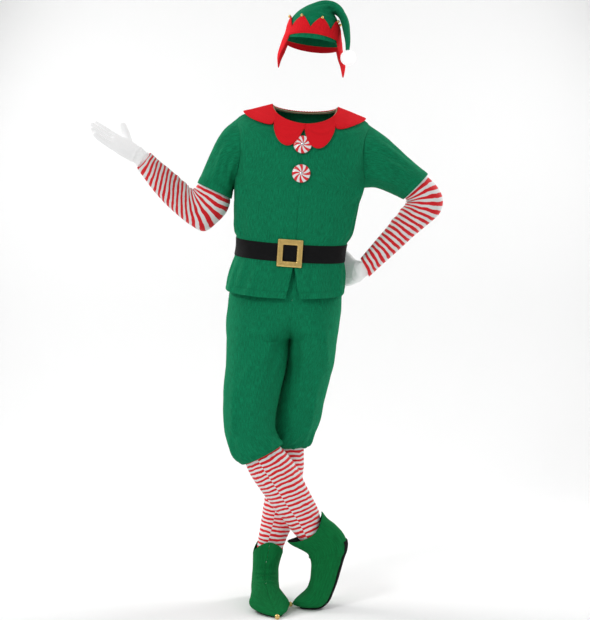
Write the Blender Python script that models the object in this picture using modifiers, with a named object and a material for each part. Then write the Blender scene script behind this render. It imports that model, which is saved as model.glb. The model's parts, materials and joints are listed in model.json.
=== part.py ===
"""Worn elf costume as hollow cloth: hat, tunic, breeches, sleeves, gloves, stockings, shoe covers.

Metres, +Z up. The wearer faces -Y, so the wearer's right is -X. The tables give heights above the
ground; the whole costume is then hung so that the origin is where the shoulders carry it.
"""
import bpy
import bmesh
import numpy as np
from collections import namedtuple
from math import cos, pi, radians, sin
from mathutils import Matrix, Vector

# Driving dimensions
SHOULDER_HEIGHT = 1.490      # ground to the neck points, where the shoulders carry the tunic
FLEECE = 0.0022              # tunic, breeches, hat crown
FELT = 0.0020                # collar, hat band, shoe covers
KNIT = 0.0016                # striped sleeves and stockings
GLOVE_CLOTH = 0.0012
SEAM_GAP = 0.0003
ARMHOLE_GAP = 0.0006
ARMHOLE_ROW_HEIGHT = 0.07    # one tunic row near the shoulder
LAID_ON = 0.0006             # a trim piece above the cloth that it lies on
CAP_SET_BACK = 0.14          # rows between a closed end's outer and inner faces

# Tunic rings, hem to neckline. Side points in the front view, front and back points in the side view
TunicRing = namedtuple("TunicRing", "left_x left_h right_x right_h side_y front_y front_h back_y back_h "
                                    "square seam_turn")
TUNIC = [
    TunicRing(-0.239, 0.951, 0.118, 0.937, 0.000, -0.128, 0.922, 0.132, 0.930, 2.4, 7.5),
    TunicRing(-0.210, 1.050, 0.118, 1.028, 0.000, -0.107, 1.028, 0.104, 1.044, 2.4, 4.5),
    TunicRing(-0.205, 1.102, 0.125, 1.080, 0.000, -0.108, 1.080, 0.104, 1.096, 2.4, 4.0),
    TunicRing(-0.209, 1.128, 0.141, 1.113, 0.000, -0.1115, 1.114, 0.113, 1.124, 2.4, 3.0),
    TunicRing(-0.210, 1.163, 0.149, 1.150, 0.000, -0.1200, 1.152, 0.116, 1.162, 2.4, 2.5),
    TunicRing(-0.212, 1.208, 0.162, 1.198, 0.002, -0.126, 1.200, 0.117, 1.208, 2.5, 1.5),
    TunicRing(-0.212, 1.252, 0.178, 1.247, 0.004, -0.127, 1.252, 0.120, 1.256, 2.5, 1.0),
    TunicRing(-0.208, 1.335, 0.186, 1.325, 0.008, -0.122, 1.322, 0.120, 1.340, 2.5, 0.0),
    TunicRing(-0.206, 1.415, 0.190, 1.398, 0.010, -0.112, 1.376, 0.112, 1.408, 2.4, 0.0),
    TunicRing(-0.200, 1.458, 0.189, 1.438, 0.010, -0.105, 1.400, 0.098, 1.440, 2.3, 0.0),
    TunicRing(-0.152, 1.478, 0.147, 1.464, 0.010, -0.100, 1.415, 0.084, 1.460, 2.2, 0.0),
    TunicRing(-0.096, 1.495, 0.097, 1.486, 0.008, -0.094, 1.431, 0.064, 1.476, 2.0, 0.0),
]
BELT_LOW, BELT_TOP, UNDERARM, SHOULDER_TIP, NECKLINE = 1, 2, 6, 9, 11
ARMHOLE_STEPS = 9
ARMHOLE_HALF_TURN = radians(30.0)
HEM_SPLIT_HALF = 0.021       # half of the gap between the fronts at the hem
FRONT_COLUMNS = 6
BACK_COLUMNS = 10

# A soft fold: from one (turn, place) to another, its width across and its height above the cloth
Fold = namedtuple("Fold", "turn place turn_end place_end width height")

# Rings of a tube seen from the front: a first and a second edge point, the middle's depth, half of
# the depth through, and how far its far side is tipped up in degrees
TubeRing = namedtuple("TubeRing", "first_x first_h second_x second_h middle_y half_depth tip")


def smooth(values, place):
    """Row of an array at a place counted in rows, on a smooth curve through all the rows."""
    last = len(values) - 1
    index = min(max(int(place), 0), last - 1)
    part = place - index
    here, there = values[index], values[index + 1]
    before = values[index - 1] if index > 0 else 2.0 * here - there
    after = values[index + 2] if index + 2 <= last else 2.0 * there - here
    slope_here, slope_there = (there - before) / 2.0, (after - here) / 2.0
    if part < 0.0 or part > 1.0:
        edge, slope = (here, slope_here) if part < 0.0 else (there, slope_there)
        return edge + slope * (part if part < 0.0 else part - 1.0)
    step = there - here
    return here + part * (slope_here + part * (3.0 * step - 2.0 * slope_here - slope_there
                                               + part * (slope_here + slope_there - 2.0 * step)))


def round_out(turn, square):
    """Sine and cosine of a turn on a rounded square: 2 is an ellipse, more is squarer."""
    side, front = sin(turn), cos(turn)
    size = (abs(side) ** square + abs(front) ** square) ** (-1.0 / square)
    return side * size, front * size


class Surface:
    """Outer face of a cloth: a point for each turn (radians) and place (rows), with its normal."""

    def __init__(self, folds=()):
        self.folds = folds

    def normal(self, turn, place, step=0.01):
        along_turn = self.base(turn + step, place) - self.base(turn - step, place)
        along_place = self.base(turn, place + step) - self.base(turn, place - step)
        normal = along_turn.cross(along_place).normalized()
        outward = self.base(turn, place) - self.centre(place)
        return normal if normal.dot(outward) > 0.0 else -normal

    def fold_height(self, turn, place):
        height = 0.0
        for fold in self.folds:
            crosswise = fold.place_end == fold.place
            turned = (turn - radians(fold.turn) + pi) % (2.0 * pi) - pi
            span = radians(fold.turn_end - fold.turn)
            along = turned / span if crosswise else (place - fold.place) / (fold.place_end - fold.place)
            if 0.0 < along < 1.0:
                away = place - fold.place if crosswise else (turned - span * along)
                width = fold.width if crosswise else radians(fold.width)
                height += fold.height * sin(pi * along) ** 0.6 * np.exp(-(away / width) ** 2)
        return height

    def point(self, turn, place, lift=0.0):
        raised = lift + self.fold_height(turn, place)
        return self.base(turn, place) + self.normal(turn, place) * raised

    def turn_for(self, distance, turn, place):
        """Change of turn that moves a point this far round."""
        step = 0.01
        return distance * 2.0 * step / (self.base(turn + step, place) - self.base(turn - step, place)).length


class TunicSurface(Surface):
    """Turn 0 is the centre front, a quarter turn is the wearer's left side."""
    rows = np.array(TUNIC)

    def centre(self, place):
        row = TunicRing(*smooth(self.rows, place))
        return Vector(((row.left_x + row.right_x) / 2.0, row.side_y, (row.front_h + row.back_h) / 2.0))

    def base(self, turn, place):
        row = TunicRing(*smooth(self.rows, place))
        side, front = round_out(turn, row.square)
        half_width = (row.right_x - row.left_x) / 2.0
        side_h = (row.left_h + row.right_h) / 2.0 + side * (row.right_h - row.left_h) / 2.0
        reach_y, reach_h = (row.front_y, row.front_h) if front > 0.0 else (row.back_y, row.back_h)
        mean_h = (row.left_h + row.right_h) / 2.0
        return Vector(((row.left_x + row.right_x) / 2.0 + side * half_width,
                       row.side_y + abs(front) * (reach_y - row.side_y),
                       side_h + abs(front) * (reach_h - mean_h)))

    def place_below_neck(self, turn, distance):
        """Place on the cloth at a distance down from the neckline."""
        place, step, walked = float(NECKLINE), 0.02, 0.0
        here = self.base(turn, place)
        while walked < distance:
            place -= step
            there = self.base(turn, place)
            walked += (there - here).length
            here = there
        return place


class TubeSurface(Surface):
    """Tube through rings; turn 0 is the first edge point, a quarter turn is towards the viewer."""

    def __init__(self, rings, folds=(), square=2.0):
        super().__init__(folds)
        self.rows = np.array(rings)
        self.square = square

    def centre(self, place):
        row = TubeRing(*smooth(self.rows, place))
        return Vector(((row.first_x + row.second_x) / 2.0, row.middle_y, (row.first_h + row.second_h) / 2.0))

    def base(self, turn, place):
        row = TubeRing(*smooth(self.rows, place))
        near, along = round_out(turn, self.square)
        half = Vector(((row.first_x - row.second_x) / 2.0, 0.0, (row.first_h - row.second_h) / 2.0))
        depth = row.half_depth * near
        tipped = Vector((0.0, -cos(radians(row.tip)), -sin(radians(row.tip))))
        return self.centre(place) + half * along + tipped * depth


def cloth_material(name, colour, roughness=0.9, metallic=0.0):
    material = bpy.data.materials.get(name) or bpy.data.materials.new(name)
    material.use_nodes = True
    shader = material.node_tree.nodes["Principled BSDF"]
    shader.inputs["Base Color"].default_value = (*colour, 1.0)
    shader.inputs["Roughness"].default_value = roughness
    shader.inputs["Metallic"].default_value = metallic
    return material


MATERIALS = {
    "green_fleece": ((0.004, 0.19, 0.08), 0.95, 0.0),
    "green_felt": ((0.004, 0.16, 0.035), 0.9, 0.0),
    "red_felt": ((0.75, 0.006, 0.012), 0.85, 0.0),
    "striped_knit": ((0.85, 0.25, 0.25), 0.85, 0.0),
    "white_cloth": ((0.85, 0.85, 0.85), 0.8, 0.0),
    "neck_tape": ((0.72, 0.60, 0.42), 0.8, 0.0),
    "belt_black": ((0.008, 0.008, 0.009), 0.7, 0.0),
    "buckle_gold": ((0.75, 0.52, 0.20), 0.35, 1.0),
    "button_candy": ((0.85, 0.12, 0.14), 0.4, 0.0),
    "bell_gold": ((0.80, 0.56, 0.22), 0.25, 1.0),
}


def add_object(name, mesh, material, place=None):
    """New object in the costume's collection, hung from the shoulder empty."""
    mesh.materials.append(cloth_material(material, *MATERIALS[material]))
    piece = bpy.data.objects.new(name, mesh)
    bpy.data.collections["elf_costume"].objects.link(piece)
    piece.parent = bpy.data.objects["shoulder_hold"]
    if place is not None:
        piece.matrix_local = place
    return piece


def mesh_from(name, bm):
    """Mesh of a closed body with its faces pointing out."""
    bmesh.ops.recalc_face_normals(bm, faces=bm.faces)
    if bm.calc_volume(signed=True) < 0.0:
        bmesh.ops.reverse_faces(bm, faces=bm.faces)
    mesh = bpy.data.meshes.new(name)
    bm.to_mesh(mesh)
    bm.free()
    return mesh


def wall(name, surface, grid, thickness, material, closed=lambda row: False, capped=False, lift=0.0,
         flush_seams=False):
    """Cloth wall on a surface. grid has rows of (turn, place); closed(row) says which go all round.

    A closed row's last column is its first one again. With flush_seams the inner points of the other
    rows' ends keep the outer points' x, so that the two halves' edges stay parallel.
    """
    bm = bmesh.new()
    layers = []
    for depth in (0.0, thickness):
        layer = []
        for row, pairs in enumerate(grid):
            set_back = CAP_SET_BACK if capped and depth and row == len(grid) - 1 else 0.0
            points = [surface.point(turn, place - set_back, lift - depth) for turn, place in pairs]
            if flush_seams and depth and not closed(row):
                for end in (0, -1):
                    points[end].x = surface.point(*pairs[end], lift).x
            vertices = [bm.verts.new(point) for point in points[:-1]]
            vertices.append(vertices[0] if closed(row) else bm.verts.new(points[-1]))
            layer.append(vertices)
        layers.append(layer)
    outer, inner = layers
    last_row, last_column = len(grid) - 1, len(grid[0]) - 1
    for row in range(last_row):
        for column in range(last_column):
            for layer in layers:
                corners = (layer[row][column], layer[row][column + 1],
                           layer[row + 1][column + 1], layer[row + 1][column])
                bm.faces.new(corners)
        if not (closed(row) and closed(row + 1)):
            for column in (0, last_column):
                bm.faces.new((outer[row][column], outer[row + 1][column],
                              inner[row + 1][column], inner[row][column]))
    for row in (0, last_row):
        if capped and row == last_row:
            for layer in layers:
                bm.faces.new(layer[row][:-1])
            continue
        for column in range(last_column):
            bm.faces.new((outer[row][column], outer[row][column + 1],
                          inner[row][column + 1], inner[row][column]))
    return add_object(name, mesh_from(name, bm), material)


def ring_grid(columns, places, start=0.0, end=2.0 * pi):
    """Rows of evenly spaced turns at each place."""
    return [[(start + (end - start) * column / columns, place) for column in range(columns + 1)]
            for place in places]


def all_round(row):
    return True


# Tunic: two fronts, back, short sleeves
class TunicSleeve(Surface):
    """Short sleeve from the armhole's edge through three rings. Turn 0 is the top of the shoulder."""

    def __init__(self, tunic, side, rings, folds=()):
        super().__init__(folds)
        self.tunic, self.side = tunic, side
        self.tube = TubeSurface(rings)

    def armhole(self, turn):
        """Turn and place on the tunic of a point on the armhole's edge, inside its seam gap."""
        place = UNDERARM + (SHOULDER_TIP - UNDERARM) * (1.0 + cos(turn)) / 2.0
        inset = self.tunic.turn_for(ARMHOLE_GAP, self.side, place)
        inset_place = ARMHOLE_GAP / ARMHOLE_ROW_HEIGHT * cos(turn)
        open_turn = (ARMHOLE_HALF_TURN - inset) * sin(turn)
        return self.side - open_turn * (1 if self.side > 0 else -1), place - inset_place

    def curve(self, turn, row):
        if row:
            return self.tube.base(turn, row - 1)
        return self.tunic.point(*self.armhole(turn), ARMHOLE_GAP * (1.0 - self.smooth_over(turn)))

    def smooth_over(self, turn):
        """How smoothly the sleeve continues the tunic: 1 over the shoulder, 0 under the arm."""
        return min(max((cos(turn) + 0.5) / 1.2, 0.0), 1.0)

    def centre(self, place):
        row = min(max(int(place), 0), 2)
        ends = [(self.curve(0.0, k) + self.curve(pi, k)) / 2.0 for k in (row, row + 1)]
        return ends[0].lerp(ends[1], place - row)

    def base(self, turn, place):
        curves = np.array([self.curve(turn, row)[:] for row in range(4)])
        return Vector(smooth(curves, place))

    def normal(self, turn, place, step=0.01):
        own = super().normal(turn, place, step)
        if place > 0.3:
            return own
        seam = self.tunic.normal(*self.armhole(turn))
        share = self.smooth_over(turn) * (1.0 - max(place, 0.0) / 0.3)
        return own.lerp(seam, share).normalized()


def armhole_open(place):
    """Half of the armhole's opening, in turn, at a place on the tunic."""
    part = (place - UNDERARM) / (SHOULDER_TIP - UNDERARM)
    if not 0.0 < part < 1.0:
        return 0.0
    return ARMHOLE_HALF_TURN * sin(np.arccos(2.0 * part - 1.0))


def seam_turn(place):
    """Where the centre front seam lies."""
    return radians(float(smooth(TunicSurface.rows[:, -1], place)))


def tunic_panel_row(tunic, place, panel):
    """Turns across one panel at one place, from seam to seam, half a seam gap clear of each."""
    half_gap = SEAM_GAP / 2.0
    side_clear = tunic.turn_for(half_gap, pi / 2.0, place) + armhole_open(place)
    front = seam_turn(place)
    front_clear = tunic.turn_for(half_gap, front, place)
    if place < BELT_LOW:
        split = HEM_SPLIT_HALF * (1.0 - place / BELT_LOW) ** 1.3
        front_clear += tunic.turn_for(split, front, place)
    ends = {"front_right": (-pi / 2.0 + side_clear, front - front_clear, FRONT_COLUMNS),
            "front_left": (front + front_clear, pi / 2.0 - side_clear, FRONT_COLUMNS),
            "back": (pi / 2.0 + side_clear, 3.0 * pi / 2.0 - side_clear, BACK_COLUMNS)}
    start, end, columns = ends[panel]
    return [(start + (end - start) * column / columns, place) for column in range(columns + 1)]


def panel_turns(tunic, place):
    """Every column of the three panels at one place, once round."""
    turns = [turn for panel in ("front_right", "front_left", "back")
             for turn, _ in tunic_panel_row(tunic, place, panel)[:-1]]
    return turns + [turns[0] + 2.0 * pi]


TUNIC_FOLDS = [
    Fold(-70, 2.2, -52, 7.2, 7, 0.007),
    Fold(-42, 2.1, -46, 4.6, 5, 0.005),
    Fold(58, 2.1, 66, 6.4, 6, 0.006),
    Fold(38, 2.1, 33, 4.4, 5, 0.004),
    Fold(-30, 0.95, -38, -0.4, 5, 0.006),
    Fold(-62, 0.95, -60, -0.4, 6, 0.006),
    Fold(28, 0.95, 36, -0.4, 5, 0.005),
    Fold(60, 0.95, 62, -0.4, 6, 0.006),
    Fold(120, 2.1, 112, 6.0, 7, 0.007),
    Fold(150, 2.1, 155, 4.8, 6, 0.006),
    Fold(200, 2.1, 196, 4.8, 6, 0.006),
    Fold(240, 2.1, 246, 6.2, 7, 0.007),
    Fold(135, 0.95, 138, -0.4, 7, 0.007),
    Fold(180, 0.95, 180, -0.4, 7, 0.006),
    Fold(225, 0.95, 222, -0.4, 7, 0.007),
]

SLEEVE_RIGHT = [
    TubeRing(-0.247, 1.413, -0.214, 1.244, 0.008, 0.064, 0),
    TubeRing(-0.286, 1.340, -0.216, 1.232, 0.004, 0.060, 0),
    TubeRing(-0.321, 1.262, -0.219, 1.214, 0.000, 0.056, 0),
]
SLEEVE_LEFT = [
    TubeRing(0.248, 1.394, 0.216, 1.247, 0.020, 0.064, 0),
    TubeRing(0.308, 1.342, 0.256, 1.233, 0.040, 0.060, 0),
    TubeRing(0.372, 1.290, 0.298, 1.213, 0.060, 0.054, 0),
]
SLEEVE_RIGHT_FOLDS = [Fold(40, 0.4, 20, 2.6, 14, 0.004), Fold(110, 0.3, 130, 2.4, 14, 0.005),
                      Fold(250, 0.3, 240, 2.4, 16, 0.005)]
SLEEVE_LEFT_FOLDS = [Fold(60, 0.3, 40, 2.6, 14, 0.005), Fold(120, 0.3, 100, 2.5, 14, 0.006),
                     Fold(250, 0.3, 250, 2.4, 16, 0.005)]


def armhole_places():
    return [UNDERARM + (SHOULDER_TIP - UNDERARM) * (1.0 - cos(pi * step / ARMHOLE_STEPS)) / 2.0
            for step in range(ARMHOLE_STEPS + 1)]


def make_tunic():
    tunic = TunicSurface(TUNIC_FOLDS)
    places = [0.0, 0.35, 0.7, 1.0, 2.0, 2.5, 3.0, 3.6, 4.3, 5.1] + armhole_places() + [9.5, 10.0, 10.5, 11.0]
    for panel in ("front_right", "front_left", "back"):
        grid = [tunic_panel_row(tunic, place, panel) for place in places]
        wall("tunic_" + panel, tunic, grid, FLEECE, "green_fleece")
    for name, side, rings, folds in (("right", -pi / 2.0, SLEEVE_RIGHT, SLEEVE_RIGHT_FOLDS),
                                     ("left", pi / 2.0, SLEEVE_LEFT, SLEEVE_LEFT_FOLDS)):
        sleeve = TunicSleeve(tunic, side, rings, folds)
        grid = ring_grid(2 * ARMHOLE_STEPS, [0.0, 0.35, 0.8, 1.3, 1.8, 2.4, 3.0])
        wall("tunic_sleeve_" + name, sleeve, grid, FLEECE, "green_fleece", closed=all_round)
    return tunic


# Collar of six petals, neck tape
Petal = namedtuple("Petal", "turn_start turn_end length notch_start notch_end")
PETALS = [
    Petal(0, 62, 0.083, 0.006, 0.030),
    Petal(62, 121, 0.090, 0.030, 0.030),
    Petal(121, 180, 0.084, 0.030, 0.014),
    Petal(180, 239, 0.084, 0.014, 0.030),
    Petal(239, 298, 0.090, 0.030, 0.030),
    Petal(298, 360, 0.083, 0.030, 0.006),
]
PETAL_COLUMNS = 8
COLLAR_PROUD = 0.0022
COLLAR_EDGE_LIFT = 0.0030


def petal_length(petal, part):
    """How far the petal reaches below the neckline, across its width from 0 to 1."""
    notch = petal.notch_start + (petal.notch_end - petal.notch_start) * part
    return notch + (petal.length - notch) * (1.0 - (2.0 * part - 1.0) ** 2) ** 0.7


class CollarSurface(TunicSurface):
    """The tunic's own surface, standing a little further off below the neckline."""

    def point(self, turn, place, lift=0.0):
        return super().point(turn, place, lift + COLLAR_EDGE_LIFT * min(1.0, (NECKLINE - place) / 2.0))


def make_collar(tunic):
    grid = []
    for share in (0.0, 0.3, 0.65, 1.0):
        row = []
        for petal in PETALS:
            last = petal is PETALS[-1]
            for column in range(PETAL_COLUMNS + (1 if last else 0)):
                part = (1.0 - cos(pi * column / PETAL_COLUMNS)) / 2.0
                turn = radians(petal.turn_start + (petal.turn_end - petal.turn_start) * part)
                row.append((turn, tunic.place_below_neck(turn, share * petal_length(petal, part))))
        grid.append(row)
    wall("tunic_collar", CollarSurface(), grid, FELT, "red_felt", closed=all_round,
         lift=FELT + COLLAR_PROUD)


def make_neck_tape(tunic):
    turns = panel_turns(tunic, NECKLINE)
    grid = [[(turn, place) for turn in turns] for place in (10.88, 11.06)]
    wall("neck_tape", TunicSurface(), grid, 0.0012, "neck_tape", closed=all_round, lift=-FLEECE - LAID_ON)


# Belt, buckle, buttons
BELT_THICK = 0.0016
BELT_PROUD = 0.0005
BUCKLE_WIDTH, BUCKLE_HEIGHT, BUCKLE_THICK, BUCKLE_BAR = 0.074, 0.081, 0.0045, 0.0165
BUCKLE_CENTRE = (-0.045, 1.054)
BUCKLE_TILT = 4.0
BUCKLE_PROUD = 0.0008
BUTTON_RADIUS, BUTTON_THICK = 0.027, 0.009
BUTTONS = {"button_upper": (-0.008, 1.370), "button_lower": (-0.012, 1.286)}


def make_belt(tunic):
    grid = [[(turn, place) for turn in panel_turns(tunic, place)] for place in (BELT_LOW, BELT_TOP)]
    wall("belt", TunicSurface(), grid, BELT_THICK, "belt_black", closed=all_round,
         lift=BELT_THICK + BELT_PROUD)


def front_y(surface, x, height, lift):
    """Depth of the front of a surface at a point seen from the front."""
    turn, place = 0.0, float(BELT_LOW)
    for _ in range(40):
        here = surface.point(turn, place, lift)
        row = TunicRing(*smooth(surface.rows, place))
        turn += (x - here.x) / ((row.right_x - row.left_x) / 2.0)
        place += (height - here.z) / 0.06
    return surface.point(turn, place, lift).y


def box_object(name, size):
    bpy.ops.mesh.primitive_cube_add(size=1.0)
    cube = bpy.context.object
    cube.name = name
    cube.data.transform(Matrix.Diagonal((*size, 1.0)))
    return cube


def make_buckle():
    x, height = BUCKLE_CENTRE
    belt = TunicSurface()
    back_y = min(belt.point(radians(turn), place, BELT_THICK + BELT_PROUD).y
                 for turn in range(-15, 25, 5) for place in (BELT_LOW, BELT_TOP))
    frame = box_object("belt_buckle", (BUCKLE_WIDTH, BUCKLE_THICK, BUCKLE_HEIGHT))
    hole = box_object("buckle_hole", (BUCKLE_WIDTH - 2.0 * BUCKLE_BAR, 4.0 * BUCKLE_THICK,
                                      BUCKLE_HEIGHT - 2.0 * BUCKLE_BAR))
    mesh = boolean_mesh(frame, hole, "DIFFERENCE", bevel=0.0008)
    place = (Matrix.Translation((x, back_y - BUCKLE_THICK / 2.0 - BUCKLE_PROUD, height))
             @ Matrix.Rotation(radians(BUCKLE_TILT), 4, "Y"))
    add_object("belt_buckle", mesh, "buckle_gold", place)


def boolean_mesh(base, cutter, operation, bevel=0.0):
    """Evaluated mesh of a Boolean of two objects, which are then removed."""
    cut = base.modifiers.new("cut", "BOOLEAN")
    cut.operation, cut.object = operation, cutter
    if bevel:
        rounding = base.modifiers.new("rounding", "BEVEL")
        rounding.width, rounding.segments = bevel, 1
    bpy.context.view_layer.update()
    mesh = bpy.data.meshes.new_from_object(base.evaluated_get(bpy.context.evaluated_depsgraph_get()))
    for unused in (base, cutter):
        bpy.data.objects.remove(unused, do_unlink=True)
    return mesh


def turned_mesh(name, profile, steps):
    """Mesh of an outline of (radius, height) turned round Z; its ends lie on the axis."""
    bm = bmesh.new()
    points = [bm.verts.new((radius, 0.0, height)) for radius, height in profile]
    for here, there in zip(points, points[1:]):
        bm.edges.new((here, there))
    outline = bpy.data.meshes.new(name + "_outline")
    bm.to_mesh(outline)
    bm.free()
    turned = bpy.data.objects.new(name + "_outline", outline)
    bpy.context.scene.collection.objects.link(turned)
    screw = turned.modifiers.new("turn", "SCREW")
    screw.steps = screw.render_steps = steps
    screw.use_merge_vertices, screw.merge_threshold = True, 0.00001
    bpy.context.view_layer.update()
    mesh = bpy.data.meshes.new_from_object(turned.evaluated_get(bpy.context.evaluated_depsgraph_get()))
    bpy.data.objects.remove(turned, do_unlink=True)
    bm = bmesh.new()
    bm.from_mesh(mesh)
    bmesh.ops.remove_doubles(bm, verts=bm.verts, dist=0.00001)
    return mesh_from(name, bm)


def make_buttons(tunic):
    dome = [(0.0, 0.0), (BUTTON_RADIUS * 0.93, 0.0), (BUTTON_RADIUS, 0.0012), (BUTTON_RADIUS, 0.0032),
            (BUTTON_RADIUS * 0.9, 0.0056), (BUTTON_RADIUS * 0.6, 0.0080), (0.0, BUTTON_THICK)]
    for name, (x, height) in BUTTONS.items():
        top = front_y(tunic, x, height + BUTTON_RADIUS, 0.0)
        low = front_y(tunic, x, height - BUTTON_RADIUS, 0.0)
        lean = np.arctan2(top - low, 2.0 * BUTTON_RADIUS)
        middle = min(front_y(tunic, x, height, 0.0), (top + low) / 2.0)
        side = BUTTON_RADIUS * 0.9
        middle = min(middle, front_y(tunic, x - side, height, 0.0), front_y(tunic, x + side, height, 0.0))
        place = (Matrix.Translation((x, middle - LAID_ON, height))
                 @ Matrix.Rotation(pi / 2.0 - lean, 4, "X"))
        add_object(name, turned_mesh(name, dome, 16), "button_candy", place)


# Breeches: each half is a leg and half of the hips, split at the centre front and back seams
HipRing = namedtuple("HipRing", "middle_x outer_x outer_h middle_h front_y back_y")
LEG_RIGHT = [
    TubeRing(-0.188, 0.423, -0.071, 0.482, -0.055, 0.061, 0),
    TubeRing(-0.214, 0.447, -0.070, 0.492, -0.055, 0.068, 0),
    TubeRing(-0.230, 0.484, -0.079, 0.508, -0.050, 0.073, 0),
    TubeRing(-0.243, 0.541, -0.089, 0.541, -0.045, 0.078, 0),
    TubeRing(-0.244, 0.628, -0.080, 0.624, -0.035, 0.082, 0),
    TubeRing(-0.239, 0.706, -0.061, 0.712, -0.022, 0.090, 0),
    TubeRing(-0.236, 0.800, -0.046, 0.792, 0.000, 0.104, 0),
]
LEG_LEFT = [
    TubeRing(0.000, 0.459, -0.112, 0.462, 0.060, 0.058, 0),
    TubeRing(0.018, 0.470, -0.116, 0.470, 0.058, 0.064, 0),
    TubeRing(0.031, 0.500, -0.113, 0.500, 0.054, 0.072, 0),
    TubeRing(0.049, 0.551, -0.103, 0.553, 0.050, 0.077, 0),
    TubeRing(0.067, 0.634, -0.081, 0.634, 0.038, 0.082, 0),
    TubeRing(0.087, 0.716, -0.054, 0.716, 0.022, 0.090, 0),
    TubeRing(0.099, 0.800, -0.046, 0.792, 0.000, 0.104, 0),
]
HIPS_RIGHT = [
    HipRing(-0.046, -0.236, 0.800, 0.792, -0.104, 0.104),
    HipRing(-0.044, -0.236, 0.838, 0.826, -0.108, 0.110),
    HipRing(-0.041, -0.234, 0.878, 0.868, -0.112, 0.116),
    HipRing(-0.038, -0.228, 0.930, 0.920, -0.111, 0.113),
    HipRing(-0.040, -0.212, 0.985, 0.975, -0.100, 0.099),
    HipRing(-0.042, -0.196, 1.034, 1.024, -0.092, 0.086),
]
HIPS_LEFT = [
    HipRing(-0.046, 0.099, 0.800, 0.792, -0.104, 0.104),
    HipRing(-0.044, 0.104, 0.838, 0.826, -0.108, 0.110),
    HipRing(-0.041, 0.109, 0.878, 0.868, -0.112, 0.116),
    HipRing(-0.038, 0.110, 0.928, 0.920, -0.111, 0.113),
    HipRing(-0.040, 0.107, 0.980, 0.975, -0.100, 0.099),
    HipRing(-0.042, 0.104, 1.024, 1.024, -0.092, 0.086),
]
CROTCH_PLACE = 6
HIP_ROWS_TO_HALF = 3.0        # rows above the crotch where a half of the hips is a half ring


class BreechesSurface(Surface):
    """Turn 0 is the outer side of the leg, and half a turn is its inner seam.

    Above the crotch, half a turn each way reaches the centre front and the centre back.
    """

    def __init__(self, leg, hips, folds=()):
        super().__init__(folds)
        self.leg = TubeSurface(leg)
        self.hips = np.array(hips)

    def centre(self, place):
        if place <= CROTCH_PLACE:
            return self.leg.centre(place)
        row = HipRing(*smooth(self.hips, place - CROTCH_PLACE))
        return Vector(((row.middle_x + row.outer_x) / 2.0, 0.0, row.middle_h))

    def base(self, turn, place):
        """Above the crotch the leg's ring widens past the centre seam and is cut off there."""
        if place <= CROTCH_PLACE:
            return self.leg.base(turn, place)
        above = place - CROTCH_PLACE
        row = HipRing(*smooth(self.hips, above))
        width = row.outer_x - row.middle_x
        shift = min(above / HIP_ROWS_TO_HALF, 1.0) ** 1.4
        middle = row.middle_x + width * (1.0 - shift) / 2.0
        half_width = row.outer_x - middle
        seam = np.arccos(max(-1.0, (row.middle_x - middle) / half_width))
        angle = turn * seam / pi
        x = middle + half_width * cos(angle)
        y = abs(sin(angle)) * (row.front_y if angle > 0.0 else row.back_y)
        return Vector((x, y, row.middle_h + (row.outer_h - row.middle_h) * (x - row.middle_x) / width))


BREECHES_RIGHT_FOLDS = [
    Fold(60, 1.2, 50, 5.2, 10, 0.005), Fold(95, 3.0, 130, 7.5, 9, 0.006), Fold(20, 0.4, 35, 2.6, 10, 0.006),
    Fold(100, 0.3, 85, 2.4, 9, 0.006), Fold(-60, 1.0, -70, 5.0, 11, 0.006), Fold(-110, 3.5, -95, 7.8, 11, 0.006),
    Fold(-20, 0.4, -30, 2.6, 10, 0.006), Fold(-130, 0.4, -125, 2.8, 10, 0.006), Fold(150, 0.4, 150, 2.4, 9, 0.005),
]
BREECHES_LEFT_FOLDS = [
    Fold(50, 0.8, 60, 4.8, 10, 0.006), Fold(100, 3.6, 130, 7.6, 9, 0.006), Fold(-60, 1.0, -60, 5.0, 11, 0.006),
    Fold(-110, 3.5, -95, 7.8, 11, 0.006), Fold(20, 0.3, 25, 2.4, 10, 0.006), Fold(-25, 0.3, -25, 2.4, 10, 0.006),
    Fold(110, 0.3, 105, 2.4, 10, 0.006), Fold(-130, 0.4, -125, 2.6, 10, 0.006),
]


def make_breeches():
    places = [0.0, 0.4, 0.9, 1.5, 2.2, 3.0, 3.8, 4.6, 5.3, 6.0, 6.4, 6.9, 7.5, 8.3, 9.6, 11.0]
    for name, leg, hips, folds in (("right", LEG_RIGHT, HIPS_RIGHT, BREECHES_RIGHT_FOLDS),
                                   ("left", LEG_LEFT, HIPS_LEFT, BREECHES_LEFT_FOLDS)):
        surface = BreechesSurface(leg, hips, folds)
        grid = []
        for place in places:
            reach = pi if place <= CROTCH_PLACE else pi - surface.turn_for(SEAM_GAP, 0.95 * pi, place)
            grid.append(ring_grid(16, [place], -reach, reach)[0])
        wall("breeches_" + name, surface, grid, FLEECE, "green_fleece",
             closed=lambda row: places[row] <= CROTCH_PLACE, flush_seams=True)


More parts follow.
